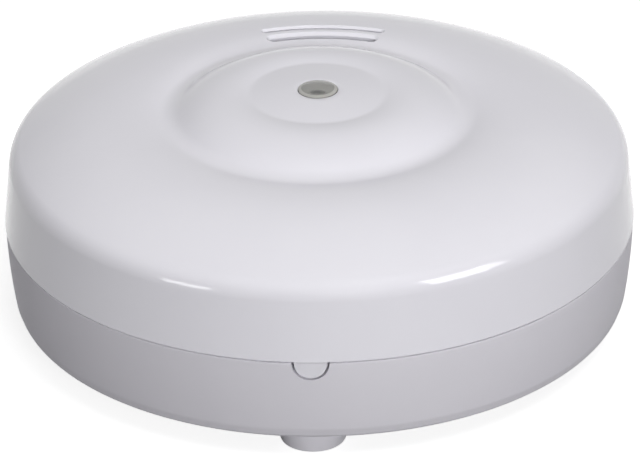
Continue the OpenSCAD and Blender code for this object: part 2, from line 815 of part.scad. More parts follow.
function spring_points() =
    let (
        rise = spring_l - spring_wire - contact_gap,
        count = spring_turns * spring_rings
    )
    [for (i = [0 : count])
        let (
            t = i / count,
            climb = max(0, min(1, (t * spring_turns - 0.75) / (spring_turns - 1.5))),
            radius = (spring_d + (spring_tip_d - spring_d) * t - spring_wire) / 2,
            turn = 360 * spring_turns * t
        )
        [spring_wire / 2 + rise * climb, radius * cos(turn), radius * sin(turn)]];

module cell_spring(y, side) {
    color([0.75, 0.75, 0.74])
        translate([side * plate_face, y, cell_z])
            rotate([0, 0, side > 0 ? 180 : 0])
                tube_along(spring_points(), spring_wire / 2, 6, [1, 0.001, 0]);
}

module negative_spring() { cell_spring(-cell_rear_y, 1); }
module bridge_spring() { cell_spring(cell_front_y, -1); }

module battery_lead_red() {
    color([0.75, 0.10, 0.10])
        lead(battery_red_route, lead_d);
}

module battery_lead_black() {
    color([0.10, 0.10, 0.10])
        lead(battery_black_route, lead_d);
}

// Board with its straight front edge, screw holes and pin holes
lamp_pins_x = [-pin_pitch / 2, pin_pitch / 2];
chip_rows = [-1, 1];
chip_cols = [-1.5, -0.5, 0.5, 1.5];
chip_leg_reach = 0.6;
chip_row_y = chip_w / 2 + chip_leg_reach;

module board_holes() {
    for (p = post_places) translate(p) circle(d = screw_d + 2 * screw_gap, $fn = 48);
    for (x = lamp_pins_x) translate([x, 0]) circle(d = pin_w * sqrt(2) + 2 * pin_gap, $fn = 24);
    for (col = chip_cols, row = chip_rows)
        translate([chip_place.x + col * pin_pitch, chip_place.y + row * chip_row_y])
            circle(d = pin_w * sqrt(2) + 2 * pin_gap, $fn = 24);
    for (i = [-1, 0, 1])
        translate([transistor_place.x + i * pin_pitch / 2, transistor_place.y])
            circle(d = pin_w * sqrt(2) + pin_gap, $fn = 24);
    for (p = resistor_places, side = [-1, 1])
        translate([p.x + side * resistor_pitch / 2, p.y])
            circle(d = resistor_wire + 2 * pin_gap, $fn = 24);
}

module circuit_board() {
    color([0.10, 0.40, 0.22])
        translate([0, 0, board_z])
            linear_extrude(board_t)
                difference() {
                    intersection() {
                        circle(r = board_r);
                        translate([-board_r, -board_front])
                            square([2 * board_r, board_r + board_front]);
                    }
                    board_holes();
                }
}

module board_screws() {
    color([0.70, 0.70, 0.72])
        for (p = post_places)
            translate([p.x, p.y, board_top])
                difference() {
                    union() {
                        cylinder(d = screw_head_d, h = screw_head_h);
                        translate([0, 0, -screw_l])
                            cylinder(d = screw_d, h = screw_l + eps);
                    }
                    for (turn = [0, 90])
                        rotate([0, 0, turn])
                            translate([-screw_head_d / 3, -screw_head_d / 12, screw_head_h / 2])
                                cube([screw_head_d / 1.5, screw_head_d / 6, screw_head_h]);
                }
}

// Lamp under the light guide
module indicator_lamp() {
    color([0.85, 0.85, 0.80, 0.7])
        translate([0, 0, board_top])
            union() {
                cylinder(d = lamp_rim_d, h = lamp_rim_h);
                cylinder(d = lamp_d, h = lamp_h - lamp_d / 2);
                translate([0, 0, lamp_h - lamp_d / 2])
                    sphere(d = lamp_d);
            }
}

module square_pin(low, high) {
    translate([-pin_w / 2, -pin_w / 2, low])
        cube([pin_w, pin_w, high - low]);
}

module lamp_pins() {
    color([0.75, 0.75, 0.75])
        for (x = lamp_pins_x)
            translate([x, 0, 0])
                square_pin(board_z - pin_out, board_top);
}

// Sounder: a brass disc with a ceramic on it, on the ledge of a round holder
module sounder_holder() {
    inner = holder_d - 2 * holder_wall;
    color([0.12, 0.12, 0.13])
        translate([0, holder_y, board_top])
            difference() {
                cylinder(d = holder_d, h = holder_h);
                translate([0, 0, holder_h - disc_depth - disc_t])
                    cylinder(d = inner, h = holder_h);
                translate([0, 0, holder_wall])
                    cylinder(d = inner - 2 * ledge_w, h = holder_h);
            }
}

module sounder_disc() {
    color([0.80, 0.65, 0.30])
        translate([0, holder_y, disc_z - disc_t])
            cylinder(r = disc_r, h = disc_t);
}

module sounder_ceramic() {
    color([0.88, 0.88, 0.86])
        translate([0, holder_y, disc_z])
            cylinder(d = ceramic_d, h = ceramic_t);
}

module sounder_leads() {
    color([0.65, 0.10, 0.10])
        for (route = sounder_routes)
            lead(route, thin_lead_d);
}

// Parts on the board
module controller_chip() {
    mark_r = 0.9;
    mark_depth = 0.4;
    color([0.13, 0.13, 0.14])
        translate([chip_place.x, chip_place.y, board_top + chip_lift])
            difference() {
                translate([-chip_l / 2, -chip_w / 2, 0])
                    cube([chip_l, chip_w, chip_h]);
                translate([-chip_l / 2, 0, chip_h - mark_depth])
                    cylinder(r = mark_r, h = chip_h);
            }
}

module chip_legs() {
    shoulder = board_top + chip_lift + chip_h / 2;
    color([0.76, 0.76, 0.76])
        for (col = chip_cols, row = chip_rows)
            translate([chip_place.x + col * pin_pitch, chip_place.y + row * chip_row_y, 0]) {
                square_pin(board_z - pin_out, shoulder);
                translate([-pin_w / 2, row > 0 ? chip_w / 2 - chip_row_y : -pin_w / 2, shoulder - pin_w])
                    cube([pin_w, chip_row_y - chip_w / 2 + pin_w / 2, pin_w]);
            }
}

module coil_core() {
    color([0.25, 0.24, 0.24])
        translate([coil_place.x, coil_place.y, board_top])
            union() {
                cylinder(d = coil_d, h = coil_flange_t);
                cylinder(d = coil_core_d, h = coil_h);
                translate([0, 0, coil_h - coil_flange_t])
                    cylinder(d = coil_d, h = coil_flange_t);
            }
}

module coil_winding() {
    color([0.65, 0.30, 0.15])
        translate([coil_place.x, coil_place.y, board_top + coil_flange_t])
            difference() {
                cylinder(d = coil_d - 2 * coil_wind_in, h = coil_h - 2 * coil_flange_t);
                translate([0, 0, -eps])
                    cylinder(d = coil_core_d, h = coil_h);
            }
}

module can_capacitor() {
    groove = 0.3;
    groove_z = 1;
    color([0.16, 0.20, 0.32])
        translate([can_place.x, can_place.y, board_top])
            difference() {
                cylinder(d = can_d, h = can_h);
                translate([0, 0, groove_z])
                    rotate_extrude()
                        translate([can_d / 2, 0])
                            circle(r = groove, $fn = 24);
            }
}

module transistor() {
    color([0.14, 0.14, 0.15])
        translate([transistor_place.x, transistor_place.y, board_top + transistor_lift])
            intersection() {
                cylinder(d = transistor_d, h = transistor_h);
                translate([-transistor_d, -transistor_d / 4, 0])
                    cube([2 * transistor_d, transistor_d, transistor_h]);
            }
}

module transistor_legs() {
    color([0.76, 0.76, 0.76])
        for (i = [-1, 0, 1])
            translate([transistor_place.x + i * pin_pitch / 2, transistor_place.y, 0])
                square_pin(board_z - pin_out, board_top + transistor_lift);
}

module resistor() {
    axis_h = resistor_d / 2;
    union() {
        translate([-resistor_l / 2, 0, axis_h])
            rotate([0, 90, 0])
                cylinder(d = resistor_d, h = resistor_l);
        translate([-resistor_pitch / 2, 0, axis_h])
            rotate([0, 90, 0])
                cylinder(d = resistor_wire, h = resistor_pitch, $fn = 24);
        for (side = [-1, 1])
            translate([side * resistor_pitch / 2, 0, -board_t - pin_out])
                cylinder(d = resistor_wire, h = board_t + pin_out + axis_h + resistor_wire / 2, $fn = 24);
    }
}

module resistors() {
    color([0.78, 0.68, 0.50])
        for (p = resistor_places)
            translate([p.x, p.y, board_top])
                resistor();
}

module disc_capacitors() {
    color([0.80, 0.50, 0.20])
        for (p = pill_places)
            translate([p.x, p.y, board_top + pill_lift + pill_d / 2])
                union() {
                    rotate([90, 0, 0])
                        cylinder(d = pill_d, h = pill_t, center = true);
                    for (side = [-1, 1])
                        translate([side * pin_pitch / 2 - pin_w / 2, -pin_w / 2, -pill_lift - pill_d / 2])
                            cube([pin_w, pin_w, pill_lift + pill_d / 2]);
                }
}

base_shell();
upper_cover();
light_guide();
contact_stud_front();
contact_stud_left();
contact_stud_right();
contact_nuts();
solder_tags();
sensor_lead_front();
sensor_lead_left();
sensor_lead_right();
cell_front_can();
cell_front_jacket();
cell_rear_can();
cell_rear_jacket();
positive_plate();
negative_plate();
bridge_plate();
negative_spring();
bridge_spring();
battery_lead_red();
battery_lead_black();
circuit_board();
board_screws();
indicator_lamp();
lamp_pins();
sounder_holder();
sounder_disc();
sounder_ceramic();
sounder_leads();
controller_chip();
chip_legs();
coil_core();
coil_winding();
can_capacitor();
transistor();
transistor_legs();
resistors();
disc_capacitors();
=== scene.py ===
from math import asin, atan2, cos, degrees, pi, radians, sin, sqrt, tan

import bmesh
import bpy
from mathutils import Matrix, Vector


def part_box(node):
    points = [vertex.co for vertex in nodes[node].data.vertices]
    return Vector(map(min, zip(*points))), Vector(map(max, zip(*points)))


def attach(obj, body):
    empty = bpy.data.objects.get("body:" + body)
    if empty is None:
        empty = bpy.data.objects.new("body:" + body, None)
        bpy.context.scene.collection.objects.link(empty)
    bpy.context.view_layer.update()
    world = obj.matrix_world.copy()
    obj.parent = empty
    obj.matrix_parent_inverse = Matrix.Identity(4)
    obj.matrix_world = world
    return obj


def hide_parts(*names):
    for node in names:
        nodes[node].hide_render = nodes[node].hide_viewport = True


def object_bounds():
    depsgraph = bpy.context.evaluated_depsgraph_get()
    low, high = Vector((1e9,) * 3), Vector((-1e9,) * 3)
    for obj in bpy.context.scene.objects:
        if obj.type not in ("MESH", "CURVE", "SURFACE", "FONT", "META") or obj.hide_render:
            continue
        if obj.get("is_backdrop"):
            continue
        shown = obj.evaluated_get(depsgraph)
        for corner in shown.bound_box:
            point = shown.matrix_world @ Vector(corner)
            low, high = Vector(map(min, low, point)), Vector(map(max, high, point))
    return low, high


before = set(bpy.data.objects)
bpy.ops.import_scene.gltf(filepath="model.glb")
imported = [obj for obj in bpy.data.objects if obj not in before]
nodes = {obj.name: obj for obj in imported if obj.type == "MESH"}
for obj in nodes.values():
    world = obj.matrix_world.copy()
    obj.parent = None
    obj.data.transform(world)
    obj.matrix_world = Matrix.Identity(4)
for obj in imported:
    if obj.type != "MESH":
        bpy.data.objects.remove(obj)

scene = bpy.context.scene
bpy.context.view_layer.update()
print("frame loaded with", len(nodes), "nodes")


class Sizes(dict):  # a dictionary whose values are read as names
    __getattr__ = dict.__getitem__


# Shader nodes

class Strand:  # one socket of a material's node tree
    def __init__(self, tree, socket=None):
        self.tree = tree
        self.socket = socket

    def add(self, kind, settings=None, sockets=None, out=0):
        made = self.tree.nodes.new(kind)
        for key, value in (settings or {}).items():
            if key == "stops":  # a ramp's stops: place and colour
                for spare in made.color_ramp.elements[2:]:
                    made.color_ramp.elements.remove(spare)
                while len(made.color_ramp.elements) < len(value):
                    made.color_ramp.elements.new(1)
                for element, (place, colour) in zip(made.color_ramp.elements, value):
                    element.position = place
                    element.color = colour
            else:
                setattr(made, key, value)
        for key, value in (sockets or {}).items():
            if isinstance(value, Strand):
                self.tree.links.new(value.socket, made.inputs[key])
            else:
                made.inputs[key].default_value = value
        return Strand(self.tree, made.outputs[out])

    def maths(self, operation, *values):
        return self.add("ShaderNodeMath", {"operation": operation}, dict(enumerate(values)))

    def __add__(self, other):
        return self.maths("ADD", self, other)

    def __radd__(self, other):
        return self.maths("ADD", other, self)

    def __sub__(self, other):
        return self.maths("SUBTRACT", self, other)

    def __rsub__(self, other):
        return self.maths("SUBTRACT", other, self)

    def __mul__(self, other):
        return self.maths("MULTIPLY", self, other)

    def __rmul__(self, other):
        return self.maths("MULTIPLY", other, self)

    def above(self, edge, soft):  # 0 below the edge, 1 above it, with a soft step
        return self.add("ShaderNodeMapRange", {"interpolation_type": "SMOOTHSTEP"},
                        {"Value": self, "From Min": edge - soft, "From Max": edge + soft})

    def blend(self, dark, light):  # from one colour to another by this value
        return self.add("ShaderNodeMix", {"data_type": "RGBA"}, {0: self, 6: dark, 7: light}, out=2)

    def noise(self, scale, detail=2, rough=0.5):
        return self.add("ShaderNodeTexNoise", None,
                        {"Vector": self, "Scale": scale, "Detail": detail, "Roughness": rough})

    def bump(self, distance, strength=1):
        return self.add("ShaderNodeBump", None,
                        {"Height": self, "Distance": distance, "Strength": strength})


def colour(red, green, blue):
    return (red, green, blue, 1)


def openMaterial(name, **constants):  # constants go straight onto the shader's sockets
    made = bpy.data.materials.new(name)
    made.use_nodes = True
    shader = made.node_tree.nodes["Principled BSDF"]
    for key, value in constants.items():
        shader.inputs[key.replace("_", " ")].default_value = value
    place = Strand(made.node_tree).add("ShaderNodeTexCoord", out=3)
    return made, shader, place


def plug(shader, name, strand):
    strand.tree.links.new(strand.socket, shader.inputs[name])


def mouldedPlastic(name, sizes):
    made, shader, place = openMaterial(name, IOR=sizes.ior, Specular_IOR_Level=sizes.shine)
    cloud = place.noise(sizes.cloudScale, 3)
    grain = place.noise(sizes.grainScale, 2)
    peel = place.noise(sizes.peelScale, 1)
    plug(shader, "Base Color", cloud.above(0.5, 0.25).blend(sizes.dark, sizes.light))
    plug(shader, "Roughness", sizes.rough + (cloud - 0.5) * sizes.roughSpread
         + (grain - 0.5) * sizes.roughGrain)
    height = peel * sizes.peelShare + grain * (1 - sizes.peelShare)
    plug(shader, "Normal", height.bump(sizes.bump))
    return made


coverFinish = Sizes(
    dark=colour(0.788, 0.776, 0.832), light=colour(0.808, 0.796, 0.850), ior=1.5, shine=0.5, rough=0.08,
    roughSpread=0.03, roughGrain=0.02, cloudScale=60, grainScale=5200, peelScale=260, peelShare=0.85,
    bump=0.000006)
# the same plastic as the cover, coloured a little darker: painted shade; its rougher, duller finish is its
# own
baseFinish = Sizes(
    dark=colour(0.750, 0.733, 0.786), light=colour(0.772, 0.755, 0.806), ior=1.48, shine=0.06, rough=0.5,
    roughSpread=0.08, roughGrain=0.1, cloudScale=70, grainScale=4200, peelScale=900, peelShare=0.4,
    bump=0.000012)
finishes = {"coverPlastic": mouldedPlastic("coverPlastic", coverFinish),
            "basePlastic": mouldedPlastic("basePlastic", baseFinish)}
print("plastics mixed")


# Modelling, in millimetres until a piece is finished

weldGap = 0.0004  # corners closer than this become one


def joinDots(bm, points):  # a line through (radius, height) points; returns its ends
    verts = [bm.verts.new((x, 0, z)) for x, z in points]
    for first, second in zip(verts, verts[1:]):
        bm.edges.new((first, second))
    return verts[0], verts[-1]


def onlyVerts(geom):
    return [v for v in geom if isinstance(v, bmesh.types.BMVert)]


def lastVert(made):
    return onlyVerts(made["geom_last"])[0]


def rollArc(bm, vert, radius, slopeFrom, slopeTo, steps):  # tangent arc; a negative radius is hollow
    lean = Vector((sin(radians(slopeFrom)), 0, cos(radians(slopeFrom))))
    return lastVert(bmesh.ops.spin(bm, geom=[vert], cent=vert.co - radius * lean, axis=(0, 1, 0),
                                   angle=radians(slopeTo - slopeFrom), steps=steps))


def cleanUp(bm):
    bmesh.ops.remove_doubles(bm, verts=bm.verts[:], dist=weldGap)
    bmesh.ops.recalc_face_normals(bm, faces=bm.faces[:])


def turnRound(bm, steps):  # revolves the profile about the vertical axis
    bmesh.ops.spin(bm, geom=bm.verts[:] + bm.edges[:], cent=(0, 0, 0), axis=(0, 0, 1),
                   angle=2 * pi, steps=steps, use_merge=True)
    cleanUp(bm)


def roundEdges(bm, width, sharpest=40, segments=2):
    sharp = [e for e in bm.edges if len(e.link_faces) == 2 and e.calc_face_angle() > radians(sharpest)]
    bmesh.ops.bevel(bm, geom=sharp, offset=width, offset_type="OFFSET", affect="EDGES",
                    segments=segments, profile=0.5, material=-1, clamp_overlap=True)


def closeUp(bm):  # fills the open ends
    bmesh.ops.holes_fill(bm, edges=[e for e in bm.edges if e.is_boundary])
    bmesh.ops.recalc_face_normals(bm, faces=bm.faces[:])


def sliced(bm, place, normal, drop=False):  # a cut right through; what lies beyond it can be dropped
    bmesh.ops.bisect_plane(bm, geom=bm.verts[:] + bm.edges[:] + bm.faces[:], plane_co=place, plane_no=normal,
                           clear_outer=drop)
    return bm


def pushOut(bm, shift):  # draws a flat face out into a solid
    pushed = bmesh.ops.extrude_face_region(bm, geom=bm.faces[:])
    bmesh.ops.translate(bm, verts=onlyVerts(pushed["geom"]), vec=shift)
    bmesh.ops.recalc_face_normals(bm, faces=bm.faces[:])


def rimLine(radius, height, line):  # outline points from (inset, rise) pairs at a rim
    return [(radius - inset, height + rise) for inset, rise in line]


def bothEnds(radius, low, high, line, middle=()):  # a line at the lower rim, mirrored at the upper
    mirrored = [(inset, -rise) for inset, rise in reversed(line)]
    return rimLine(radius, low, line) + list(middle) + rimLine(radius, high, mirrored)


def capped(points):  # an outline with its ends led to the axis
    return [(0, points[0][1])] + points + [(0, points[-1][1])]


def turned(points, steps=48, edge=0.1):
    bm = bmesh.new()
    joinDots(bm, points)
    turnRound(bm, steps)
    if edge:
        roundEdges(bm, edge)
    return bm


def drum(radius, low, high, steps, edge=0):
    return turned(capped([(radius, low), (radius, high)]), steps, edge)


def moved(bm, *place):
    bmesh.ops.translate(bm, verts=bm.verts[:], vec=place)
    return bm


def rotated(bm, angle, axis, centre=(0, 0, 0)):
    bmesh.ops.rotate(bm, verts=bm.verts[:], cent=centre, matrix=Matrix.Rotation(radians(angle), 3, axis))
    return bm


def block(low, high, edge=0.1):
    bm = bmesh.new()
    size = Vector(high) - Vector(low)
    bmesh.ops.create_cube(bm, size=1)
    bmesh.ops.scale(bm, verts=bm.verts[:], vec=size)
    bmesh.ops.translate(bm, verts=bm.verts[:], vec=Vector(low) + size / 2)
    if edge:
        roundEdges(bm, edge)
    return bm


def raised(points, low, high, edge=0.1):  # a flat outline pushed up between two heights
    bm = bmesh.new()
    first, last = joinDots(bm, points)
    bm.edges.new((last, first))
    bmesh.ops.contextual_create(bm, geom=bm.edges[:])
    pushOut(moved(rotated(bm, -90, "X"), 0, 0, low), (0, 0, high - low))
    if edge:
        roundEdges(bm, edge)
    return bm


def gather(*parts):  # several meshes into the first one
    whole = parts[0]
    for part in parts[1:]:
        spare = bpy.data.meshes.new("spare")
        part.to_mesh(spare)
        whole.from_mesh(spare)
        bpy.data.meshes.remove(spare)
        part.free()
    return whole


def asObject(bm, name):
    mesh = bpy.data.meshes.new(name)
    bm.to_mesh(mesh)
    bm.free()
    made = bpy.data.objects.new(name, mesh)
    scene.collection.objects.link(made)
    return made


def combine(bm, other, operation):  # exact boolean of two closed meshes
    first, second = asObject(bm, "first"), asObject(other, "second")
    cut = first.modifiers.new("cut", "BOOLEAN")
    cut.operation = operation
    cut.solver = "EXACT"
    cut.object = second
    result = bmesh.new()
    result.from_object(first, bpy.context.evaluated_depsgraph_get())
    for spare in (first, second):
        mesh = spare.data
        bpy.data.objects.remove(spare)
        bpy.data.meshes.remove(mesh)
    bmesh.ops.remove_doubles(result, verts=result.verts[:], dist=weldGap)
    return result


def finishPiece(bm, name, node, slotName, *finishNames, body="base", sharpest=35):
    bmesh.ops.scale(bm, verts=bm.verts[:], vec=(0.001, 0.001, 0.001))  # to metres
    piece = asObject(bm, name)
    piece.data.shade_smooth()
    piece.data.set_sharp_from_angle(angle=radians(sharpest))
    evenNormals = piece.modifiers.new("evenNormals", "WEIGHTED_NORMAL")
    evenNormals.keep_sharp = True
    for finishName in finishNames:
        piece.data.materials.append(finishes[finishName])
    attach(piece, body)
    if node:
        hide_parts(node)
    return piece


# Cover: the ripple line is a chain of tangent arcs, rolled from the seam up to the lens

coverSizes = Sizes(
    caseRadius=40, seam=14, wall=2, draft=6.3, sideHeight=7.65, shoulder=3.1, ringSlope=30.3, crestAt=23.2,
    crestCurve=16, crestSlope=10.8, outerValley=3.6, middleOuter=36, middleInner=9, innerValley=3,
    domeRadius=8.2, domeSlope=7, bore=5.1, bossWall=1.6, bossDepth=3, steps=240, edge=0.08)


def sine(angle):
    return sin(radians(angle))


def coverArcs(sizes):  # outer radius, slopes at both ends and steps of each arc
    lean = 90 - sizes.draft
    top = sizes.caseRadius - sizes.sideHeight * tan(radians(sizes.draft))
    shoulderEnd = top - sizes.shoulder * (sine(lean) - sine(sizes.ringSlope))
    ring = (shoulderEnd - sizes.crestAt) / sine(sizes.ringSlope)
    valleyEnd = (sizes.crestAt - (sizes.crestCurve + sizes.outerValley) * sine(sizes.crestSlope)
                 - sizes.outerValley * sine(sizes.middleOuter))
    middleEnd = sizes.domeRadius + sizes.innerValley * (sine(sizes.domeSlope) + sine(sizes.middleInner))
    middle = (valleyEnd - middleEnd) / (sine(sizes.middleOuter) + sine(sizes.middleInner))
    dome = sizes.domeRadius / sine(sizes.domeSlope)
    return [(sizes.shoulder, lean, sizes.ringSlope, 12),
            (ring, sizes.ringSlope, 0, 24),
            (sizes.crestCurve, 0, -sizes.crestSlope, 5),
            (-sizes.outerValley, -sizes.crestSlope, sizes.middleOuter, 10),
            (middle, sizes.middleOuter, -sizes.middleInner, 14),
            (-sizes.innerValley, -sizes.middleInner, sizes.domeSlope, 8),
            (dome, sizes.domeSlope, None, 7)]


def coverLine(bm, sizes, inset, endRadius):
    lean, slope = 90 - sizes.draft, tan(radians(sizes.draft))
    foot = bm.verts.new((sizes.caseRadius - inset / cos(radians(sizes.draft)), 0, sizes.seam))
    vert = bm.verts.new((sizes.caseRadius - sizes.sideHeight * slope - inset * sine(lean), 0,
                         sizes.seam + sizes.sideHeight - inset * cos(radians(lean))))
    bm.edges.new((foot, vert))
    for radius, slopeFrom, slopeTo, steps in coverArcs(sizes):
        if slopeTo is None:  # the dome stops at the bore or its boss
            slopeTo = degrees(asin(endRadius / (radius - inset)))
        vert = rollArc(bm, vert, radius - inset, slopeFrom, slopeTo, steps)
    return foot, vert


def tongue(halfWidth, roundAt, top, front, back):  # half-round tongue standing across the front wall
    bm = bmesh.new()
    start, low = joinDots(bm, [(-halfWidth, top), (-halfWidth, roundAt)])
    made = bmesh.ops.spin(bm, geom=[low], cent=(0, 0, roundAt), axis=(0, 1, 0), angle=-pi, steps=32)
    end = bm.verts.new((halfWidth, 0, top))
    bm.edges.new((lastVert(made), end))
    bm.edges.new((end, start))
    bmesh.ops.contextual_create(bm, geom=bm.edges[:])
    pushOut(moved(bm, 0, front, 0), (0, back - front, 0))
    return bm


slotSizes = Sizes(
    slots=((21.9, 1.9), (24.4, 1.4)), span=38.4, low=22, high=33, lip=0.34, lipRise=0.7, lipTurn=0.3,
    steps=48, endSteps=14)


def slotCutter(radius, width, surface, sizes):  # an arc with round ends, flared where it meets the surface
    lip = sizes.lip
    half, flare = width / 2 - lip, width / 2 + lip
    reach = radians(sizes.span / 2) - asin(width / 2 / radius)
    bm = bmesh.new()
    rise, bend = lip * sizes.lipRise, lip * sizes.lipTurn
    wall = [(flare, sizes.high), (flare, surface + rise), (width / 2 - bend, surface - bend),
            (half, surface - lip), (half, sizes.low)]
    inner, outer = joinDots(bm, [(radius - out, z) for out, z in wall]
                            + [(radius + out, z) for out, z in reversed(wall)])
    bm.edges.new((outer, inner))
    startAngle = pi / 2 - reach
    rotated(bm, degrees(startAngle), "Z")
    ring = bm.verts[:] + bm.edges[:]
    made = bmesh.ops.spin(bm, geom=ring, cent=(0, 0, 0), axis=(0, 0, 1), angle=2 * reach, steps=sizes.steps)
    for geom, angle, turn in ((ring, startAngle, -pi), (made["geom_last"], pi - startAngle, pi)):
        middle = Vector((radius * cos(angle), radius * sin(angle), 0))
        side = [e for e in geom if isinstance(e, bmesh.types.BMEdge)
                and all(v.co.xy.length > radius for v in e.verts)]
        corners = list({v for e in side for v in e.verts})
        bmesh.ops.spin(bm, geom=corners + side, cent=middle, axis=(0, 0, 1), angle=turn, steps=sizes.endSteps)
    bmesh.ops.remove_doubles(bm, verts=bm.verts[:], dist=weldGap)
    closeUp(bm)
    return bm


tabSizes = Sizes(
    width=3.95, depth=2.25, thick=1.3, gap=0.3, notchDeep=1.4, rise=0.8, proud=0.003, spare=0.4,
    sideSpare=0.3, trim=0.05, cutFront=-45, cutBack=-30, steps=20)
baseSizes = Sizes(
    lowRadius=38.95, topRadius=39.9, bottom=2.8, floor=5, seam=14, edge=0.8, rim=0.09, wall=2.2,
    gapHigh=0.19, gapDeep=0.4, lipFoot=37.79, lipTop=37.46, lipHigh=3, lipInside=36.49, lipRoot=2.3,
    skirtLow=10.5, steps=240, rows=24, belly=0.2)


def baseOuter(height):  # outer radius of the base at a height above the floor plane
    share = (height - baseSizes.bottom) / (baseSizes.seam - baseSizes.bottom)
    belly = baseSizes.belly * 4 * share * (1 - share)  # the wall is a little barrelled
    return baseSizes.lowRadius + share * (baseSizes.topRadius - baseSizes.lowRadius) + belly


def makeTab(cover, tab):
    seam, lip = cover.seam, cover.seam - tab.gap * 0.5
    low = seam - tab.depth
    foot = low - tab.spare
    rimTop = cover.caseRadius - cover.edge * tan(radians(cover.draft)) + tab.proud
    bm = bmesh.new()
    first, last = joinDots(bm, [(rimTop - tab.rise / 2, seam + tab.rise), (rimTop, seam + cover.edge),
                                (cover.caseRadius + tab.proud, seam), (baseOuter(lip), lip),
                                (baseOuter(foot), foot), (baseOuter(foot) - tab.thick, foot),
                                (cover.caseRadius - tab.thick, seam + tab.rise)])
    bm.edges.new((last, first))
    swing = degrees(asin((tab.width / 2 + tab.sideSpare) / cover.caseRadius))
    rotated(bm, -90 - swing, "Z")
    bmesh.ops.spin(bm, geom=bm.verts[:] + bm.edges[:], cent=(0, 0, 0), axis=(0, 0, 1),
                   angle=radians(2 * swing), steps=tab.steps)
    closeUp(bm)
    half, top = tab.width / 2, seam + tab.rise - tab.trim
    return combine(bm, tongue(half, low + half, top, tab.cutFront, tab.cutBack), "INTERSECT")


def makeCover(sizes, slots):
    bm = bmesh.new()
    bore, boss = sizes.bore / 2, sizes.bore / 2 + sizes.bossWall
    outerFoot, outerEnd = coverLine(bm, sizes, 0, bore)
    innerFoot, innerEnd = coverLine(bm, sizes, sizes.wall, boss)
    bossLow = outerEnd.co.z - sizes.wall - sizes.bossDepth
    corners = [innerEnd, bm.verts.new((boss, 0, bossLow)), bm.verts.new((bore, 0, bossLow)), outerEnd]
    for first, second in zip(corners, corners[1:]):
        bm.edges.new((first, second))
    bm.edges.new((outerFoot, innerFoot))
    turnRound(bm, sizes.steps)
    roundEdges(bm, sizes.edge)
    crestTop = max(v.co.z for v in bm.verts if abs(v.co.xy.length - sizes.crestAt) < 0.5)
    ring = coverArcs(sizes)[1][0]
    for radius, width in slots.slots:
        curve = ring if radius > sizes.crestAt else sizes.crestCurve
        surface = crestTop - curve + sqrt(curve ** 2 - (radius - sizes.crestAt) ** 2)
        bm = combine(bm, slotCutter(radius, width, surface, slots), "DIFFERENCE")
    return bm


cover = finishPiece(makeCover(coverSizes, slotSizes), "cover", "upper_cover", "cover_plastic", "coverPlastic",
                    body="cover")
finishPiece(makeTab(coverSizes, tabSizes), "coverTab", None, "cover_plastic", "coverPlastic",
            body="cover", sharpest=0.05)
print("cover:", len(cover.data.polygons), "faces")


# Base: turned shell, feet, cell bay and board posts

footSizes = Sizes(
    radius=33.4, angles=(-90, 150, 30), low=4.05, high=4.25, top=4, recess=2.15, recessTop=1.3, edge=0.3,
    steps=64)
baySizes = Sizes(
    cellRadius=5.25, cellZ=11.85, cells=(-19.8, -8.8), saddleAt=13, saddleWide=1.6, saddleGap=0.15,
    saddleEdge=0.12, hollow=3, wallAt=24.65, wallThick=1.6, wallTop=15.85, wallEdge=0.15, plate=8.6,
    plateFace=24.25, rail=0.6, railOver=0.5, railGap=0.1, railEdge=0.08, shelfEdge=0.05, wallSunk=0.5,
    railSunk=0.35, shelfSunk=0.3, seatSunk=0.1)
postSizes = Sizes(places=((26, 8), (16, 23), (-16, 23), (-26, 8)), radius=2.5, top=9, edge=0.15, steps=40)


def saddle(x, bay, floor):
    front, rear = bay.cells
    reach, seat = bay.cellRadius, bay.cellRadius + bay.saddleGap
    bm = block((x - bay.saddleWide / 2, front - reach, floor - bay.wallSunk),
               (x + bay.saddleWide / 2, rear + reach, bay.cellZ), 0)
    for y in bay.cells:
        hollow = rotated(drum(seat, -bay.hollow, bay.hollow, 64), 90, "Y")
        bm = combine(bm, moved(hollow, x, y, bay.cellZ), "DIFFERENCE")
    roundEdges(bm, bay.saddleEdge, 50)
    return bm


def plateSeat(middle, width, bay, floor):
    half = width / 2 + bay.railGap
    face, rail = bay.plateFace - bay.railGap, bay.rail
    deep = bay.wallAt + bay.seatSunk
    shelf = half + rail / 2  # ends inside the rails
    parts = [block((face, middle - shelf, floor - bay.shelfSunk),
                   (deep, middle + shelf, bay.cellZ - bay.plate / 2), bay.shelfEdge)]
    for side in (-1, 1):  # each rail hooks round the plate's edge
        inner, outer = middle + side * half, middle + side * (half + rail)
        hook = middle + side * (half - bay.railGap - bay.railOver)
        outline = [(face - rail, hook), (face - rail, outer), (deep, outer), (deep, inner),
                   (face, inner), (face, hook)]
        parts.append(raised(outline, floor - bay.railSunk, bay.wallTop, bay.railEdge))
    return gather(*parts)


def bayEnd(bay, floor, seats):
    front, rear = bay.cells
    wall = block((bay.wallAt, front - bay.cellRadius, floor - bay.wallSunk),
                 (bay.wallAt + bay.wallThick, rear + bay.cellRadius, bay.wallTop), bay.wallEdge)
    return gather(wall, *[plateSeat(middle, width, bay, floor) for middle, width in seats])


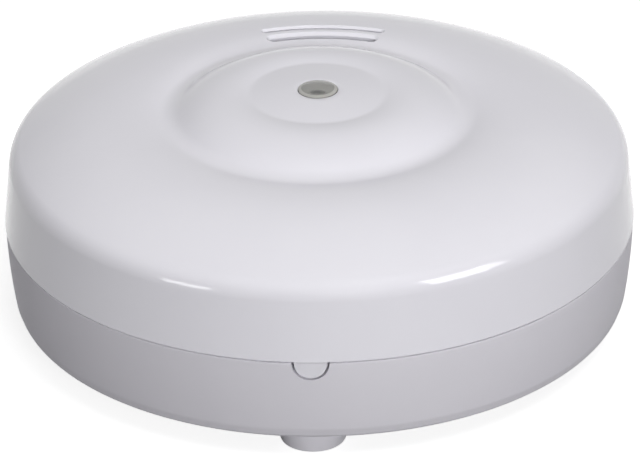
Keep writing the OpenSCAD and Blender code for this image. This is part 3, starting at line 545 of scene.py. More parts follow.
def makeShell(sizes):
    bm = bmesh.new()
    start, vert = joinDots(bm, [(0, sizes.bottom), (sizes.lowRadius - sizes.edge, sizes.bottom)])
    vert = rollArc(bm, vert, sizes.edge, 180, 90, 8)
    seam, floor = sizes.seam, sizes.floor
    wallTop, wallLow = seam - sizes.gapHigh, vert.co.z
    rows = [wallTop + (wallLow - wallTop) * i / sizes.rows for i in range(sizes.rows)]
    wall = [(baseOuter(z + sizes.gapHigh * (z - wallLow) / (wallTop - wallLow)), z) for z in reversed(rows)]
    gapFoot, lipTop = sizes.topRadius - sizes.gapDeep, seam + sizes.lipHigh
    first, last = joinDots(bm, wall + [(gapFoot, wallTop), (gapFoot, seam), (sizes.lipFoot, seam),
                                       (sizes.lipTop, lipTop), (sizes.lipInside, lipTop),
                                       (sizes.lipInside, seam - sizes.lipRoot),
                                       (baseOuter(sizes.skirtLow) - sizes.wall, sizes.skirtLow),
                                       (baseOuter(floor) - sizes.wall, floor), (0, floor)])
    bm.edges.new((vert, first))
    turnRound(bm, sizes.steps)
    roundEdges(bm, sizes.rim)
    return bm


def makeBase(sizes, feet, bay, posts, tab):
    floor = sizes.floor
    half = tab.width / 2 + tab.gap
    lowest = sizes.seam - tab.depth - tab.gap
    notch = tongue(half, lowest + half, sizes.seam + tab.spare, tab.cutFront,
                   tab.notchDeep - sizes.topRadius)
    parts = [combine(makeShell(sizes), notch, "DIFFERENCE")]
    for angle in feet.angles:
        foot = turned([(0, feet.recessTop), (feet.recess, feet.recessTop), (feet.recess, 0),
                       (feet.low, 0), (feet.high, feet.top), (0, feet.top)], feet.steps, feet.edge)
        parts.append(rotated(moved(foot, feet.radius, 0, 0), angle, "Z"))
    for side in (-1, 1):
        parts.append(saddle(side * bay.saddleAt, bay, floor))
    front, rear = bay.cells
    parts.append(bayEnd(bay, floor, [(front, bay.plate), (rear, bay.plate)]))
    bridge = bayEnd(bay, floor, [((front + rear) / 2, rear - front + bay.plate)])
    bmesh.ops.scale(bridge, verts=bridge.verts[:], vec=(-1, 1, 1))
    bmesh.ops.reverse_faces(bridge, faces=bridge.faces[:])
    parts.append(bridge)
    for x, y in posts.places:
        post = drum(posts.radius, floor - bay.wallSunk, posts.top, posts.steps, posts.edge)
        parts.append(moved(post, x, y, 0))
    return gather(*parts)


base = finishPiece(makeBase(baseSizes, footSizes, baySizes, postSizes, tabSizes), "base", "base_shell",
                   "base_plastic", "basePlastic")
print("base:", len(base.data.polygons), "faces")


# Finishes of the inner pieces; every one varies by noise, whose middle is 0.5

metalGrain = Sizes(
    metallic=1.0, stretch=(1, 1, 1), scale=1500, tarnish=300, soft=0.3, bump=0.00001, roughBrush=0.18,
    roughTarnish=0.12)
smoothGrain = Sizes(
    ior=1.48, cloud=260, grain=5000, soft=0.25, bump=0.00001, grainShare=0.6, roughGrain=0.16,
    roughCloud=0.1)
clearGrain = Sizes(ior=1.49, haze=700, soft=0.3, hazeLift=1.06, roughHaze=0.05)


def metalFinish(name, dark, light, rough, changes=None):
    sizes = Sizes(metalGrain, **(changes or {}))
    made, shader, place = openMaterial(name, Metallic=sizes.metallic)
    stretched = place.add("ShaderNodeMapping", None, {"Vector": place, "Scale": sizes.stretch})
    brushed = stretched.noise(sizes.scale, 3, 0.6)
    tarnish = place.noise(sizes.tarnish, 2)
    plug(shader, "Base Color", tarnish.above(0.5, sizes.soft).blend(colour(*dark), colour(*light)))
    plug(shader, "Roughness", rough + (brushed - 0.5) * sizes.roughBrush
         + (tarnish - 0.5) * sizes.roughTarnish)
    plug(shader, "Normal", brushed.bump(sizes.bump))
    return made


def smoothFinish(name, dark, light, rough, changes=None):  # mouldings, enamel, vinyl and lacquer
    sizes = Sizes(smoothGrain, **(changes or {}))
    made, shader, place = openMaterial(name, IOR=sizes.ior)
    cloud = place.noise(sizes.cloud, 3)
    grain = place.noise(sizes.grain, 2)
    plug(shader, "Base Color", cloud.above(0.5, sizes.soft).blend(colour(*dark), colour(*light)))
    plug(shader, "Roughness", rough + (grain - 0.5) * sizes.roughGrain + (cloud - 0.5) * sizes.roughCloud)
    height = grain * sizes.grainShare + cloud * (1 - sizes.grainShare)
    plug(shader, "Normal", height.bump(sizes.bump))
    return made


def clearFinish(name, tint, rough, milk, cup=None):  # clear plastic with a little haze in it; cup adds a painted shade spot
    made, shader, place = openMaterial(name, IOR=clearGrain.ior, Transmission_Weight=1 - milk)
    haze = place.noise(clearGrain.haze, 2)
    paler = colour(*[min(1, v * clearGrain.hazeLift) for v in tint])
    body = haze.above(0.5, clearGrain.soft).blend(colour(*tint), paler)
    if cup:  # painted shade: a dark spot of colour in the lens, off the axis toward the front
        reach = place.add("ShaderNodeVectorMath", {"operation": "MULTIPLY_ADD"},
                          {0: place, 1: cup.stretch, 2: cup.shift})
        reach = place.add("ShaderNodeVectorMath", {"operation": "LENGTH"}, {0: reach}, out=1)
        body = reach.above(cup.radius, cup.soft).blend(cup.tint, body)
    plug(shader, "Base Color", body)
    plug(shader, "Roughness", rough + haze * clearGrain.roughHaze)
    return made


def jacketFinish(name, sizes, side):  # printed sleeve: body colour, pale band and a thin line at one end
    made, shader, place = openMaterial(name, IOR=sizes.ior)
    along = place.add("ShaderNodeSeparateXYZ", None, {0: place}) * side
    cloud = place.noise(sizes.cloud, 2)
    crease = place.noise(sizes.crease, 2)
    body = cloud.above(0.5, 0.3).blend(sizes.body, sizes.bodyLight)
    lineFrom = along.above(sizes.lineAt, sizes.soft)
    lineTo = along.above(sizes.lineAt + sizes.lineWide, sizes.soft)
    dressed = along.above(sizes.bandAt, sizes.soft).blend(body, sizes.band)
    plug(shader, "Base Color", (lineFrom * (1 - lineTo)).blend(dressed, sizes.line))
    plug(shader, "Roughness", sizes.rough + (crease - 0.5) * sizes.roughCrease)
    plug(shader, "Normal", crease.bump(sizes.bump))
    return made


# dark and light colour, roughness and what differs from the usual grain
metals = {"contactSteel": ((0.60, 0.60, 0.61), (0.70, 0.70, 0.70), 0.28),
          "nickelPlate": ((0.66, 0.63, 0.58), (0.74, 0.71, 0.66), 0.26, {"stretch": (1, 1, 6)}),
          "cellSteel": ((0.62, 0.62, 0.62), (0.72, 0.72, 0.71), 0.22, {"stretch": (1, 6, 6)}),
          "springSteel": ((0.52, 0.52, 0.53), (0.64, 0.64, 0.65), 0.24),
          "tinned": ((0.66, 0.66, 0.67), (0.76, 0.76, 0.76), 0.34),
          "solderTin": ((0.58, 0.58, 0.59), (0.73, 0.73, 0.74), 0.3, {"bump": 0.00003, "scale": 900}),
          "copperTrack": ((0.62, 0.42, 0.16), (0.74, 0.52, 0.22), 0.35),
          "screwZinc": ((0.60, 0.60, 0.58), (0.72, 0.71, 0.67), 0.3),
          "discBrass": ((0.68, 0.47, 0.17), (0.80, 0.58, 0.25), 0.3, {"stretch": (8, 1, 1)}),
          "discSilver": ((0.74, 0.73, 0.70), (0.84, 0.83, 0.80), 0.5, {"metallic": 0.6}),
          "windingCopper": ((0.50, 0.16, 0.05), (0.64, 0.23, 0.08), 0.3, {"bump": 0.00002}),
          "canAluminium": ((0.70, 0.70, 0.71), (0.80, 0.80, 0.80), 0.3),
          "bandGold": ((0.60, 0.42, 0.13), (0.72, 0.52, 0.20), 0.35)}
mouldings = {"ceramicEdge": ((0.62, 0.58, 0.50), (0.70, 0.66, 0.58), 0.6),
             "boardMask": ((0.012, 0.115, 0.045), (0.018, 0.145, 0.060), 0.3, {"cloud": 120}),
             "trackMask": ((0.030, 0.200, 0.070), (0.040, 0.235, 0.085), 0.28, {"cloud": 200}),
             "boardEdge": ((0.40, 0.38, 0.20), (0.50, 0.47, 0.27), 0.7),
             "holderBlack": ((0.016, 0.016, 0.017), (0.028, 0.028, 0.029), 0.45),
             "epoxyBlack": ((0.018, 0.018, 0.019), (0.034, 0.034, 0.035), 0.55),
             "ferriteGrey": ((0.035, 0.034, 0.034), (0.070, 0.068, 0.066), 0.7, {"bump": 0.00003}),
             "sleeveBlue": ((0.012, 0.030, 0.095), (0.018, 0.042, 0.125), 0.3),
             "sleeveStripe": ((0.46, 0.50, 0.56), (0.55, 0.59, 0.64), 0.35),
             "resistorBody": ((0.60, 0.42, 0.25), (0.70, 0.51, 0.32), 0.42),
             "bandBrown": ((0.10, 0.035, 0.014), (0.14, 0.050, 0.020), 0.4),
             "bandRed": ((0.42, 0.020, 0.014), (0.50, 0.030, 0.020), 0.4),
             "discLacquer": ((0.56, 0.215, 0.035), (0.66, 0.275, 0.055), 0.34, {"bump": 0.00003}),
             "blueVinyl": ((0.015, 0.070, 0.320), (0.025, 0.095, 0.400), 0.38),
             "yellowVinyl": ((0.66, 0.45, 0.020), (0.76, 0.54, 0.035), 0.38),
             "redVinyl": ((0.47, 0.014, 0.012), (0.56, 0.025, 0.018), 0.38),
             "blackVinyl": ((0.012, 0.012, 0.012), (0.024, 0.024, 0.024), 0.38)}
# painted shade in the lens: a dark spot fixed in the plastic's colour, standing in for the dark crescent seen
# through it
paintedLensShade = Sizes(
    stretch=(0.45, 1, 0), shift=(0, 0.0015, 0), radius=0.0004, soft=0.0003, tint=colour(0.08, 0.08, 0.075))
# tint, roughness, milkiness and a painted shade spot
clears = {"guideClear": ((0.53, 0.525, 0.49), 0.04, 0.4, paintedLensShade),
          "guideRim": ((0.47, 0.465, 0.435), 0.08, 0.8),
          "lampClear": ((0.92, 0.93, 0.93), 0.03, 0.05)}
for mix, table in ((metalFinish, metals), (smoothFinish, mouldings), (clearFinish, clears)):
    for finishName, values in table.items():
        finishes[finishName] = mix(finishName, *values)
print("inner finishes mixed")


# Light guide: the clear rod that ends as the lens, with a milkier rim

guideSizes = Sizes(
    radius=2.5, proud=0.4, collar=3.5, collarThick=1, coreRadius=2.05, rimDeep=1, edge=0.06, steps=72)


def paint(bm, index):  # which of the piece's finishes these faces take
    for face in bm.faces:
        face.material_index = index
    return bm


def makeGuide(sizes, low, high, bossLow):
    bm = bmesh.new()
    radius, collarLow = sizes.radius, bossLow - sizes.collarThick
    dome = (radius ** 2 + sizes.proud ** 2) / (2 * sizes.proud)
    first, last = joinDots(bm, [(0, low), (radius, low), (radius, collarLow), (sizes.collar, collarLow),
                                (sizes.collar, bossLow), (radius, bossLow), (radius, high - sizes.proud)])
    rollArc(bm, last, dome, degrees(asin(radius / dome)), 0, 12)
    turnRound(bm, sizes.steps)
    roundEdges(bm, sizes.edge)
    for face in bm.faces:  # the rim scatters more than the middle
        middle = face.calc_center_median()
        rim = middle.xy.length > sizes.coreRadius and middle.z > high - sizes.rimDeep
        face.material_index = 1 if rim else 0
    return bm


guideLow, guideHigh = [corner.z * 1000 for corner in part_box("light_guide")]
bossLow = guideHigh - guideSizes.proud - coverSizes.wall - coverSizes.bossDepth
guide = finishPiece(makeGuide(guideSizes, guideLow, guideHigh, bossLow), "lightGuide", "light_guide",
                    "clear_plastic", "guideClear", "guideRim", body="cover")
print("light guide:", len(guide.data.polygons), "faces")


# Sensing contacts: rivet-like studs with a thread, nuts, tags and their leads

studSizes = Sizes(
    pad=2.1, padLow=0.3, padTop=1.3, padLine=((0.25, 0), (0, 0.25)), stem=1, top=7.5, tip=0.3,
    threadFrom=5.2, pitch=0.45, threadDeep=0.12, radius=33.4)
nutSizes = Sizes(flats=4, low=5.4, top=7, edge=0.11)
tagSizes = Sizes(
    ring=2, eye=0.98, low=5, thick=0.4, length=6, wide=1.8, overlap=0.5, eyeEdge=0.04, tailEdge=0.05,
    drop=0.85, dropAt=1.1, dropStretch=(1.2, 0.8, 0.55))
sensorPlaces = {"front": -90, "left": 150, "right": 30}


def atContact(bm, z, angle):
    return rotated(moved(bm, studSizes.radius, 0, z), angle, "Z")


def makeStud(sizes, angle):
    stem, pitch = sizes.stem, sizes.pitch
    points = rimLine(sizes.pad, sizes.padLow, sizes.padLine)
    points += [(sizes.pad, sizes.padTop), (stem, sizes.padTop), (stem, sizes.threadFrom)]
    for i in range(int((sizes.top - sizes.tip - sizes.threadFrom) / pitch)):
        z = sizes.threadFrom + (i + 0.5) * pitch
        points += [(stem - sizes.threadDeep, z), (stem, z + pitch / 2)]
    return atContact(turned(capped(points + [(stem - sizes.tip, sizes.top)]), 48, 0), 0, angle)


def makeNut(sizes, angle):
    bm = bmesh.new()
    radius = sizes.flats / 2 / cos(pi / 6)
    bmesh.ops.create_cone(bm, cap_ends=True, segments=6, radius1=radius, radius2=radius,
                          depth=sizes.top - sizes.low)
    roundEdges(bm, sizes.edge, 50)
    return atContact(bm, (sizes.low + sizes.top) / 2, angle)


def blob(radius, stretch):  # a drop of solder
    bm = bmesh.new()
    bmesh.ops.create_uvsphere(bm, u_segments=24, v_segments=12, radius=radius)
    bmesh.ops.scale(bm, verts=bm.verts[:], vec=stretch)
    return bm


def makeTag(sizes, angle):
    eye, ring, thick = sizes.eye, sizes.ring, sizes.thick
    washer = turned([(eye, 0), (ring, 0), (ring, thick), (eye, thick), (eye, 0)], 48, sizes.eyeEdge)
    tail = block((-sizes.length, -sizes.wide / 2, 0), (sizes.overlap - ring, sizes.wide / 2, thick),
                 sizes.tailEdge)
    drop = moved(blob(sizes.drop, sizes.dropStretch), sizes.dropAt - sizes.length, 0, thick)
    return atContact(gather(paint(washer, 0), paint(tail, 0), paint(drop, 1)), sizes.low, angle)


for placeName, angle in sensorPlaces.items():
    finishPiece(makeStud(studSizes, angle), "stud" + placeName.title(), "contact_stud_" + placeName,
                "contact_steel", "contactSteel")
finishPiece(gather(*[makeNut(nutSizes, angle) for angle in sensorPlaces.values()]), "nuts", "contact_nuts",
            "nickel", "nickelPlate")
finishPiece(gather(*[makeTag(tagSizes, angle) for angle in sensorPlaces.values()]), "tags", "solder_tags",
            "nickel", "nickelPlate", "solderTin")


def wire(points, radius, smooth=8):  # a round wire through the points, as a mesh
    route = bpy.data.curves.new("route", "CURVE")
    route.dimensions = "3D"
    route.bevel_depth = radius
    route.bevel_resolution = 4
    route.use_fill_caps = True
    route.resolution_u = smooth
    spline = route.splines.new("BEZIER")
    spline.bezier_points.add(len(points) - 1)
    for knot, point in zip(spline.bezier_points, points):
        knot.co = point
        knot.handle_left_type = knot.handle_right_type = "AUTO"
    holder = bpy.data.objects.new("route", route)
    scene.collection.objects.link(holder)
    swept = bpy.data.meshes.new_from_object(holder.evaluated_get(bpy.context.evaluated_depsgraph_get()))
    bm = bmesh.new()
    bm.from_mesh(swept)
    bpy.data.objects.remove(holder)
    bpy.data.curves.remove(route)
    bpy.data.meshes.remove(swept)
    cleanUp(bm)
    return bm


leadSizes = Sizes(
    thick=0.55, thin=0.35, front=((0, -28, 6.05), (0.55, -25.9, 6.05), (2.2, -21.9, 5.7),
    (3.52, -16.3, 5.7), (3.96, -8.8, 5.7), (4.4, -2.9, 5.7), (4.4, 0.45, 6.5), (4.4, 1, 7.94),
    (4.4, 1, 8.9)), side=((28.6, 0, 6.05), (27.4, 0, 6.05), (26.3, 0, 6.62), (25.53, 0, 7.9),
    (25.53, 0, 8.9)), red=((24.85, -19.8, 17.35), (25.81, -19.8, 17.35), (27.25, -16.3, 17.35),
    (28.05, -12.3, 17.15), (28.05, -6.18, 16.35), (27.09, -0.97, 14.36), (25.4, 2.7, 13.09),
    (25.4, 2.8, 11.7), (25.4, 2.8, 10.7)), black=((24.85, -8.8, 17.35), (25.57, -8.8, 17.35),
    (26.05, -6.18, 17.35), (25.09, -2.32, 16.35), (22.4, 0.5, 13.36), (22.4, 0.6, 11.7), (22.4, 0.6, 10.7)),
    ceramic=((2.12, 12.84, 15.95), (2.12, 12.84, 16.8), (4.6, 10.6, 17.6), (6.8, 8.7, 17.5),
    (8.4, 6.6, 15.6), (8.7, 6.2, 12.17), (8.7, 6.2, 10.7)), disc=((5.49, 10.68, 15.7), (5.49, 10.68, 16.8),
    (7.4, 9.8, 17.6), (9, 8.6, 17.5), (10.4, 7.6, 15.6), (10.6, 7.3, 12.17), (10.6, 7.3, 10.7)))

finishPiece(wire(leadSizes.front, leadSizes.thick), "leadFront", "sensor_lead_front",
            "yellow_lead", "yellowVinyl")
for placeName in ("left", "right"):
    lead = rotated(wire(leadSizes.side, leadSizes.thick), sensorPlaces[placeName], "Z")
    finishPiece(lead, "lead" + placeName.title(), "sensor_lead_" + placeName, "blue_lead", "blueVinyl")
for tint in ("red", "black"):
    finishPiece(wire(leadSizes[tint], leadSizes.thick), "lead" + tint.title(), "battery_lead_" + tint,
                tint + "_lead", tint + "Vinyl")
thinLeads = [paint(wire(leadSizes[end], leadSizes.thin), i) for i, end in enumerate(("ceramic", "disc"))]
finishPiece(gather(*thinLeads), "sounderLeads", "sounder_leads", "red_lead", "redVinyl", "blackVinyl")
print("contacts and leads made")


# Cells: crimped cans in printed sleeves, nub towards the positive end

cellSizes = Sizes(
    radius=5.25, sleeve=0.2, canFrom=-20.15, canTo=23.15, nubTo=24.15, nub=1.9, sleeveFrom=-19.75,
    sleeveTo=22.75, axisZ=11.85, rows={"front": (-19.8, 1), "rear": (-8.8, -1)}, footLine=((1.6, 0.15),
    (1.3, 0), (0.4, 0), (0, 0.4)), topLine=((0, -0.5), (0.5, 0), (1, 0), (1.3, -0.35)),
    nubFoot=((-0.25, -0.35), (0, -0.1)), nubLine=((0, -0.25), (0.25, 0)), sleeveLine=((0.2, 0.02),
    (0.12, 0), (0.04, 0.1), (0, 0.3)))
jacketSizes = Sizes(
    body=colour(0.020, 0.075, 0.135), bodyLight=colour(0.028, 0.095, 0.165), band=colour(0.50, 0.52, 0.54),
    line=colour(0.62, 0.40, 0.05), bandAt=0.0145, lineAt=0.0128, lineWide=0.0007, soft=0.00004, ior=1.5,
    cloud=180, crease=900, rough=0.26, roughCrease=0.12, bump=0.00002)


def laidDown(bm, side, y, z):  # from upright to along the row, nub to this side
    rotated(bm, 90, "Y")
    if side < 0:
        rotated(bm, 180, "Z")
    return moved(bm, 0, y, z)


def canOutline(sizes):
    can = sizes.radius - sizes.sleeve
    return capped(rimLine(can, sizes.canFrom, sizes.footLine) + rimLine(can, sizes.canTo, sizes.topLine)
                  + rimLine(sizes.nub, sizes.canTo, sizes.nubFoot)
                  + rimLine(sizes.nub, sizes.nubTo, sizes.nubLine))


sleeveOutline = bothEnds(cellSizes.radius, cellSizes.sleeveFrom, cellSizes.sleeveTo, cellSizes.sleeveLine)
for rowName, (y, side) in cellSizes.rows.items():
    sleeveName = "cellSleeve" + rowName.title()
    finishes[sleeveName] = jacketFinish(sleeveName, jacketSizes, side)
    can = laidDown(turned(canOutline(cellSizes), 72, 0), side, y, cellSizes.axisZ)
    finishPiece(can, "can" + rowName.title(), f"cell_{rowName}_can", "cell_steel", "cellSteel",
                body="cell_" + rowName)
    sleeve = laidDown(turned(sleeveOutline + sleeveOutline[:1], 96, 0), side, y, cellSizes.axisZ)
    finishPiece(sleeve, "sleeve" + rowName.title(), f"cell_{rowName}_jacket", "cell_jacket", sleeveName,
                body="cell_" + rowName)


# Battery contacts: plates with solder on their tails, conical springs

plateSizes = Sizes(
    face=24.25, thick=0.4, square=8.6, tail=2.4, tailTop=18.45, tailSunk=0.5, axisZ=11.85, edge=0.08,
    drop=0.9, dropStretch=(0.6, 1, 1), dropOut=0.1, dropDown=1.1)
springSizes = Sizes(wide=3.2, narrow=1.8, turns=4, length=4, wire=0.3, each=20)


def makePlate(sizes, middle, width, tail, side):
    half, low = width / 2, sizes.axisZ - sizes.square / 2
    front, back, top = sizes.face, sizes.face + sizes.thick, low + sizes.square
    parts = [block((front, middle - half, low), (back, middle + half, top), sizes.edge)]
    if tail:
        parts.append(block((front, middle - sizes.tail / 2, top - sizes.tailSunk),
                           (back, middle + sizes.tail / 2, sizes.tailTop), sizes.edge))
        drop = moved(blob(sizes.drop, sizes.dropStretch), back + sizes.dropOut, middle,
                     sizes.tailTop - sizes.dropDown)
        parts.append(paint(drop, 1))
    plate = gather(*parts)
    if side < 0:
        rotated(plate, 180, "Z", (0, middle, 0))
    return plate


def makeSpring(sizes, y, side):
    points = []
    count = sizes.turns * sizes.each
    for i in range(count + 1):
        share = i / count
        radius = sizes.wide + (sizes.narrow - sizes.wide) * share
        angle = 2 * pi * sizes.turns * share
        x = plateSizes.face - sizes.wire - share * (sizes.length - 2 * sizes.wire)
        points.append((side * x, y + radius * cos(angle), plateSizes.axisZ + radius * sin(angle)))
    return wire(points, sizes.wire, 2)


frontRow, rearRow = [y for y, side in cellSizes.rows.values()]
for poleName, y in (("positive", frontRow), ("negative", rearRow)):
    finishPiece(makePlate(plateSizes, y, plateSizes.square, True, 1), "plate" + poleName.title(),
                poleName + "_plate", "nickel", "nickelPlate", "solderTin")
bridge = makePlate(plateSizes, (frontRow + rearRow) / 2, rearRow - frontRow + plateSizes.square, False, -1)
finishPiece(bridge, "plateBridge", "bridge_plate", "nickel", "nickelPlate")
for springName, y, side in (("negative", rearRow, 1), ("bridge", frontRow, -1)):
    finishPiece(makeSpring(springSizes, y, side), "spring" + springName.title(), springName + "_spring",
                "contact_steel", "springSteel")
print("cells and battery contacts made")


# Circuit board: laminate with raised tracks under the mask, and a solder dot at every joint

boardSizes = Sizes(
    radius=30.5, front=-2.9, low=9, top=10.6, edge=0.06, trackHigh=0.035, trackSunk=0.05, trackWide=0.7,
    cornerLow=0.004, cornerHigh=0.002, dotWide=0.85, dotHigh=0.5, dotSunk=0.02, padWide=1.15, padHigh=0.05,
    padSunk=0.04, dotLine=((1, 0), (0.72, 0.35), (0.42, 0.8), (0.2, 0.97), (0, 1)), tracks=(((25.4, 2.8),
    (23.2, 4.4), (21.4, 6.2)), ((22.4, 0.6), (14.2, 0.6), (12.6, 1.6)), ((-13.19, 1.2), (-11.4, -0.6),
    (-9.47, 0.8)), ((-6.93, 0.8), (-5.2, -0.9), (-2.2, -0.9), (-1.27, 0)), ((1.27, 0), (2.7, -1.4),
    (9, -1.4), (10.4, -0.6)), ((4.4, 1), (3.1, 2.3), (3.1, 3.4), (4.53, 4.8)), ((-20.81, 8.8),
    (-22.11, 10.1), (-22.11, 12.77)), ((-15.73, 8.8), (-15.73, 10.6), (-13.9, 12.6)), ((-13.9, 16),
    (-12.4, 14.6)), ((22.11, 12.77), (22.11, 11.2), (20.6, 9.8)), ((14.1, 14.6), (12.9, 15.8),
    (12.9, 17.8)), ((22.3, 17.8), (22.3, 19.6), (20.4, 21.2)), ((-13.19, 8.8), (-11.6, 7.2), (-9.87, 6)),
    ((-23.3, 16), (-24.6, 14.7), (-24.6, 11.6)), ((-7.33, 6), (-5.6, 4.3), (-5.6, 2.6), (-8.2, 0.8)),
    ((7.07, 4.8), (8.7, 6.2))), joints=((25.4, 2.8), (22.4, 0.6), (4.4, 1), (-22.11, 12.77), (22.11, 12.77),
    (8.7, 6.2), (10.6, 7.3), (20.4, 21.2), (-24.6, 11.6)))
resistorSizes = Sizes(
    places=((-18.6, 12.6), (-18.6, 16), (18.8, 14.6), (17.6, 17.8)), radius=1.1, half=3, line=((0.495, 0),
    (0.132, 0.1), (0, 0.35), (0, 1.1), (0.11, 1.5)), axis=11.7, bands={-2.3: 1, -0.95: 2, 0.05: 1, 2.1: 3},
    bandHalf=0.24, reach=4.7, wire=0.3, wireSunk=0.2, bend=((-0.5, 0), (-0.1, -0.2), (0, -0.6)), wireLow=1)


def track(points, sizes):  # flat strips with round corners
    parts = []
    half, low, high = sizes.trackWide / 2, sizes.top - sizes.trackSunk, sizes.top + sizes.trackHigh
    for (x, y), (nextX, nextY) in zip(points, points[1:]):
        run = Vector((nextX - x, nextY - y))
        strip = block((0, -half, low), (run.length, half, high), 0)
        parts.append(moved(rotated(strip, degrees(atan2(run.y, run.x)), "Z"), x, y, 0))
    for x, y in points:  # corners a hair taller, so no two edges fall together
        parts.append(moved(drum(half, low - sizes.cornerLow, high + sizes.cornerHigh, 20), x, y, 0))
    return gather(*parts)


def solderDot(x, y, z, radius, height):
    line = [(radius * share, z + height * rise) for share, rise in boardSizes.dotLine]
    return moved(turned([(0, z)] + line, 24, 0), x, y, 0)


def flatSided(radius, flatAt, low, high, segments):  # a round slab with its front cut flat
    bm = bmesh.new()
    bmesh.ops.create_circle(bm, cap_ends=True, radius=radius, segments=segments)
    cleanUp(sliced(bm, (0, flatAt, 0), (0, -1, 0), True))
    bmesh.ops.solidify(bm, geom=bm.faces[:], thickness=low - high)
    bmesh.ops.recalc_face_normals(bm, faces=bm.faces[:])
    return moved(bm, 0, 0, high - max(v.co.z for v in bm.verts))


def makeBoard(sizes, joints):
    top = sizes.top
    bm = flatSided(sizes.radius, sizes.front, sizes.low, top, 128)
    roundEdges(bm, sizes.edge, 60)
    for face in bm.faces:  # cut edges of the laminate show its fibres
        face.material_index = 0 if abs(face.normal.z) > 0.9 else 1
    parts = [bm] + [paint(track(points, sizes), 2) for points in sizes.tracks]
    for x, y in joints:
        parts.append(paint(solderDot(x, y, top - sizes.dotSunk, sizes.dotWide, sizes.dotHigh), 3))
        pad = drum(sizes.padWide, top - sizes.padSunk, top + sizes.padHigh, 28)
        parts.append(paint(moved(pad, x, y, 0), 4))
    return gather(*parts)


boardJoints = list(boardSizes.joints)
for x, y in resistorSizes.places:
    boardJoints += [(x - resistorSizes.reach, y), (x + resistorSizes.reach, y)]
board = finishPiece(makeBoard(boardSizes, boardJoints), "board", "circuit_board", "board_green",
                    "boardMask", "boardEdge", "trackMask", "solderTin", "copperTrack")
seat = boardSizes.top
print("board:", len(board.data.polygons), "faces")


# Board screws with pan heads and cross recesses

screwSizes = Sizes(
    head=1.9, headHigh=1.5, headSide=0.65, shank=0.95, length=5, tip=0.6, tipHigh=0.5,
    crownLine=((0.14, -0.45), (0.55, -0.12), (1.1, 0)), edge=0.05, slotWide=0.5, slotLong=2.2,
    slotDeep=0.8, turn=20, turnEach=3)
cutOver = 1  # cutters reach this far past the surface


def crossCut(bm, long, wide, low, top):  # a cross sunk into a top face
    a, b = long / 2, wide / 2
    cross = [(a, -b), (a, b), (b, b), (b, a), (-b, a), (-b, b),
             (-a, b), (-a, -b), (-b, -b), (-b, -a), (b, -a), (b, -b)]
    return combine(bm, raised(cross, low, top + cutOver, 0), "DIFFERENCE")


def makeScrew(sizes, x, y):
    top, low = seat + sizes.headHigh, seat - sizes.length
    bm = turned(capped([(sizes.shank * sizes.tip, low), (sizes.shank, low + sizes.tipHigh),
                        (sizes.shank, seat), (sizes.head, seat), (sizes.head, seat + sizes.headSide)]
                       + rimLine(sizes.head, top, sizes.crownLine)), 48, sizes.edge)
    bm = crossCut(bm, sizes.slotLong, sizes.slotWide, top - sizes.slotDeep, top)
    return moved(rotated(bm, sizes.turn + x * sizes.turnEach, "Z"), x, y, 0)


finishPiece(gather(*[makeScrew(screwSizes, x, y) for x, y in postSizes.places]), "boardScrews",
            "board_screws", "contact_steel", "screwZinc")


# Lamp under the light guide, with its inner frame

lampBody = Sizes(
    radius=2.5, rim=2.9, rimHigh=1, high=8.6, edge=0.08, steps=64, cupAt=-0.35, cup=((0, 4.1), (0.35, 4.1),
    (0.62, 4.5), (0.8, 4.5), (0.7, 3.4), (0, 3.4)), die=((-0.18, -0.18, 4.1), (0.18, 0.18, 4.3)),
    dieEdge=0.02, frames=(((-1.6, -0.22, 0.4), (-0.35, 0.22, 3.6)), ((0.75, -0.22, 0.4),
    (1.55, 0.22, 4.2))), frameEdge=0.05)


def makeLampBody(sizes):
    bm = bmesh.new()
    first, last = joinDots(bm, [(0, 0), (sizes.rim, 0), (sizes.rim, sizes.rimHigh),
                                (sizes.radius, sizes.rimHigh), (sizes.radius, sizes.high - sizes.radius)])
    rollArc(bm, last, sizes.radius, 90, 0, 14)
    turnRound(bm, sizes.steps)
    roundEdges(bm, sizes.edge)
    parts = [paint(bm, 0), paint(moved(turned(sizes.cup, 24, 0), sizes.cupAt, 0, 0), 1)]
    parts += [paint(block(low, high, sizes.frameEdge), 1) for low, high in sizes.frames]
    parts.append(paint(moved(block(*sizes.die, sizes.dieEdge), sizes.cupAt, 0, 0), 2))
    return moved(gather(*parts), 0, 0, seat)


finishPiece(makeLampBody(lampBody), "lamp", "indicator_lamp", "clear_plastic",
            "lampClear", "tinned", "yellowVinyl")


# Sounder: holder with a ledge, brass disc with a stamped ring, silvered ceramic

sounderSizes = Sizes(
    y=17, outer=11.5, inner=9.9, ledge=8.9, high=6, edge=0.15, discLow=15.3, discRadius=9.75, discThick=0.3,
    discEdge=0.03, discLine=((0, 0), (0.7, 0), (0.8, -0.06), (1, -0.06), (1.1, 0)), ceramic=7,
    ceramicThick=0.25, silver=6.2, silverHalf=0.02, dotWide=0.75, ceramicJoint=(2.12, 12.84),
    ceramicDot=0.3, discJoint=(5.49, 10.68), discDot=0.28, steps=96)


def makeHolder(sizes):
    ledge, inner, outer = sizes.ledge, sizes.inner, sizes.outer
    top, disc = seat + sizes.high, sizes.discLow
    bm = turned([(ledge, seat), (outer, seat), (outer, top), (inner, top), (inner, disc), (ledge, disc),
                 (ledge, seat)], sizes.steps, sizes.edge)
    return moved(bm, 0, sizes.y, 0)


def makeDisc(sizes):
    low, top, edge = sizes.discLow, sizes.discLow + sizes.discThick, sizes.discRadius
    bm = turned(capped([(edge, low)] + rimLine(edge, top, sizes.discLine)), sizes.steps, sizes.discEdge)
    dot = solderDot(*sizes.discJoint, top, sizes.dotWide, sizes.discDot)
    return gather(paint(moved(bm, 0, sizes.y, 0), 0), paint(dot, 1))


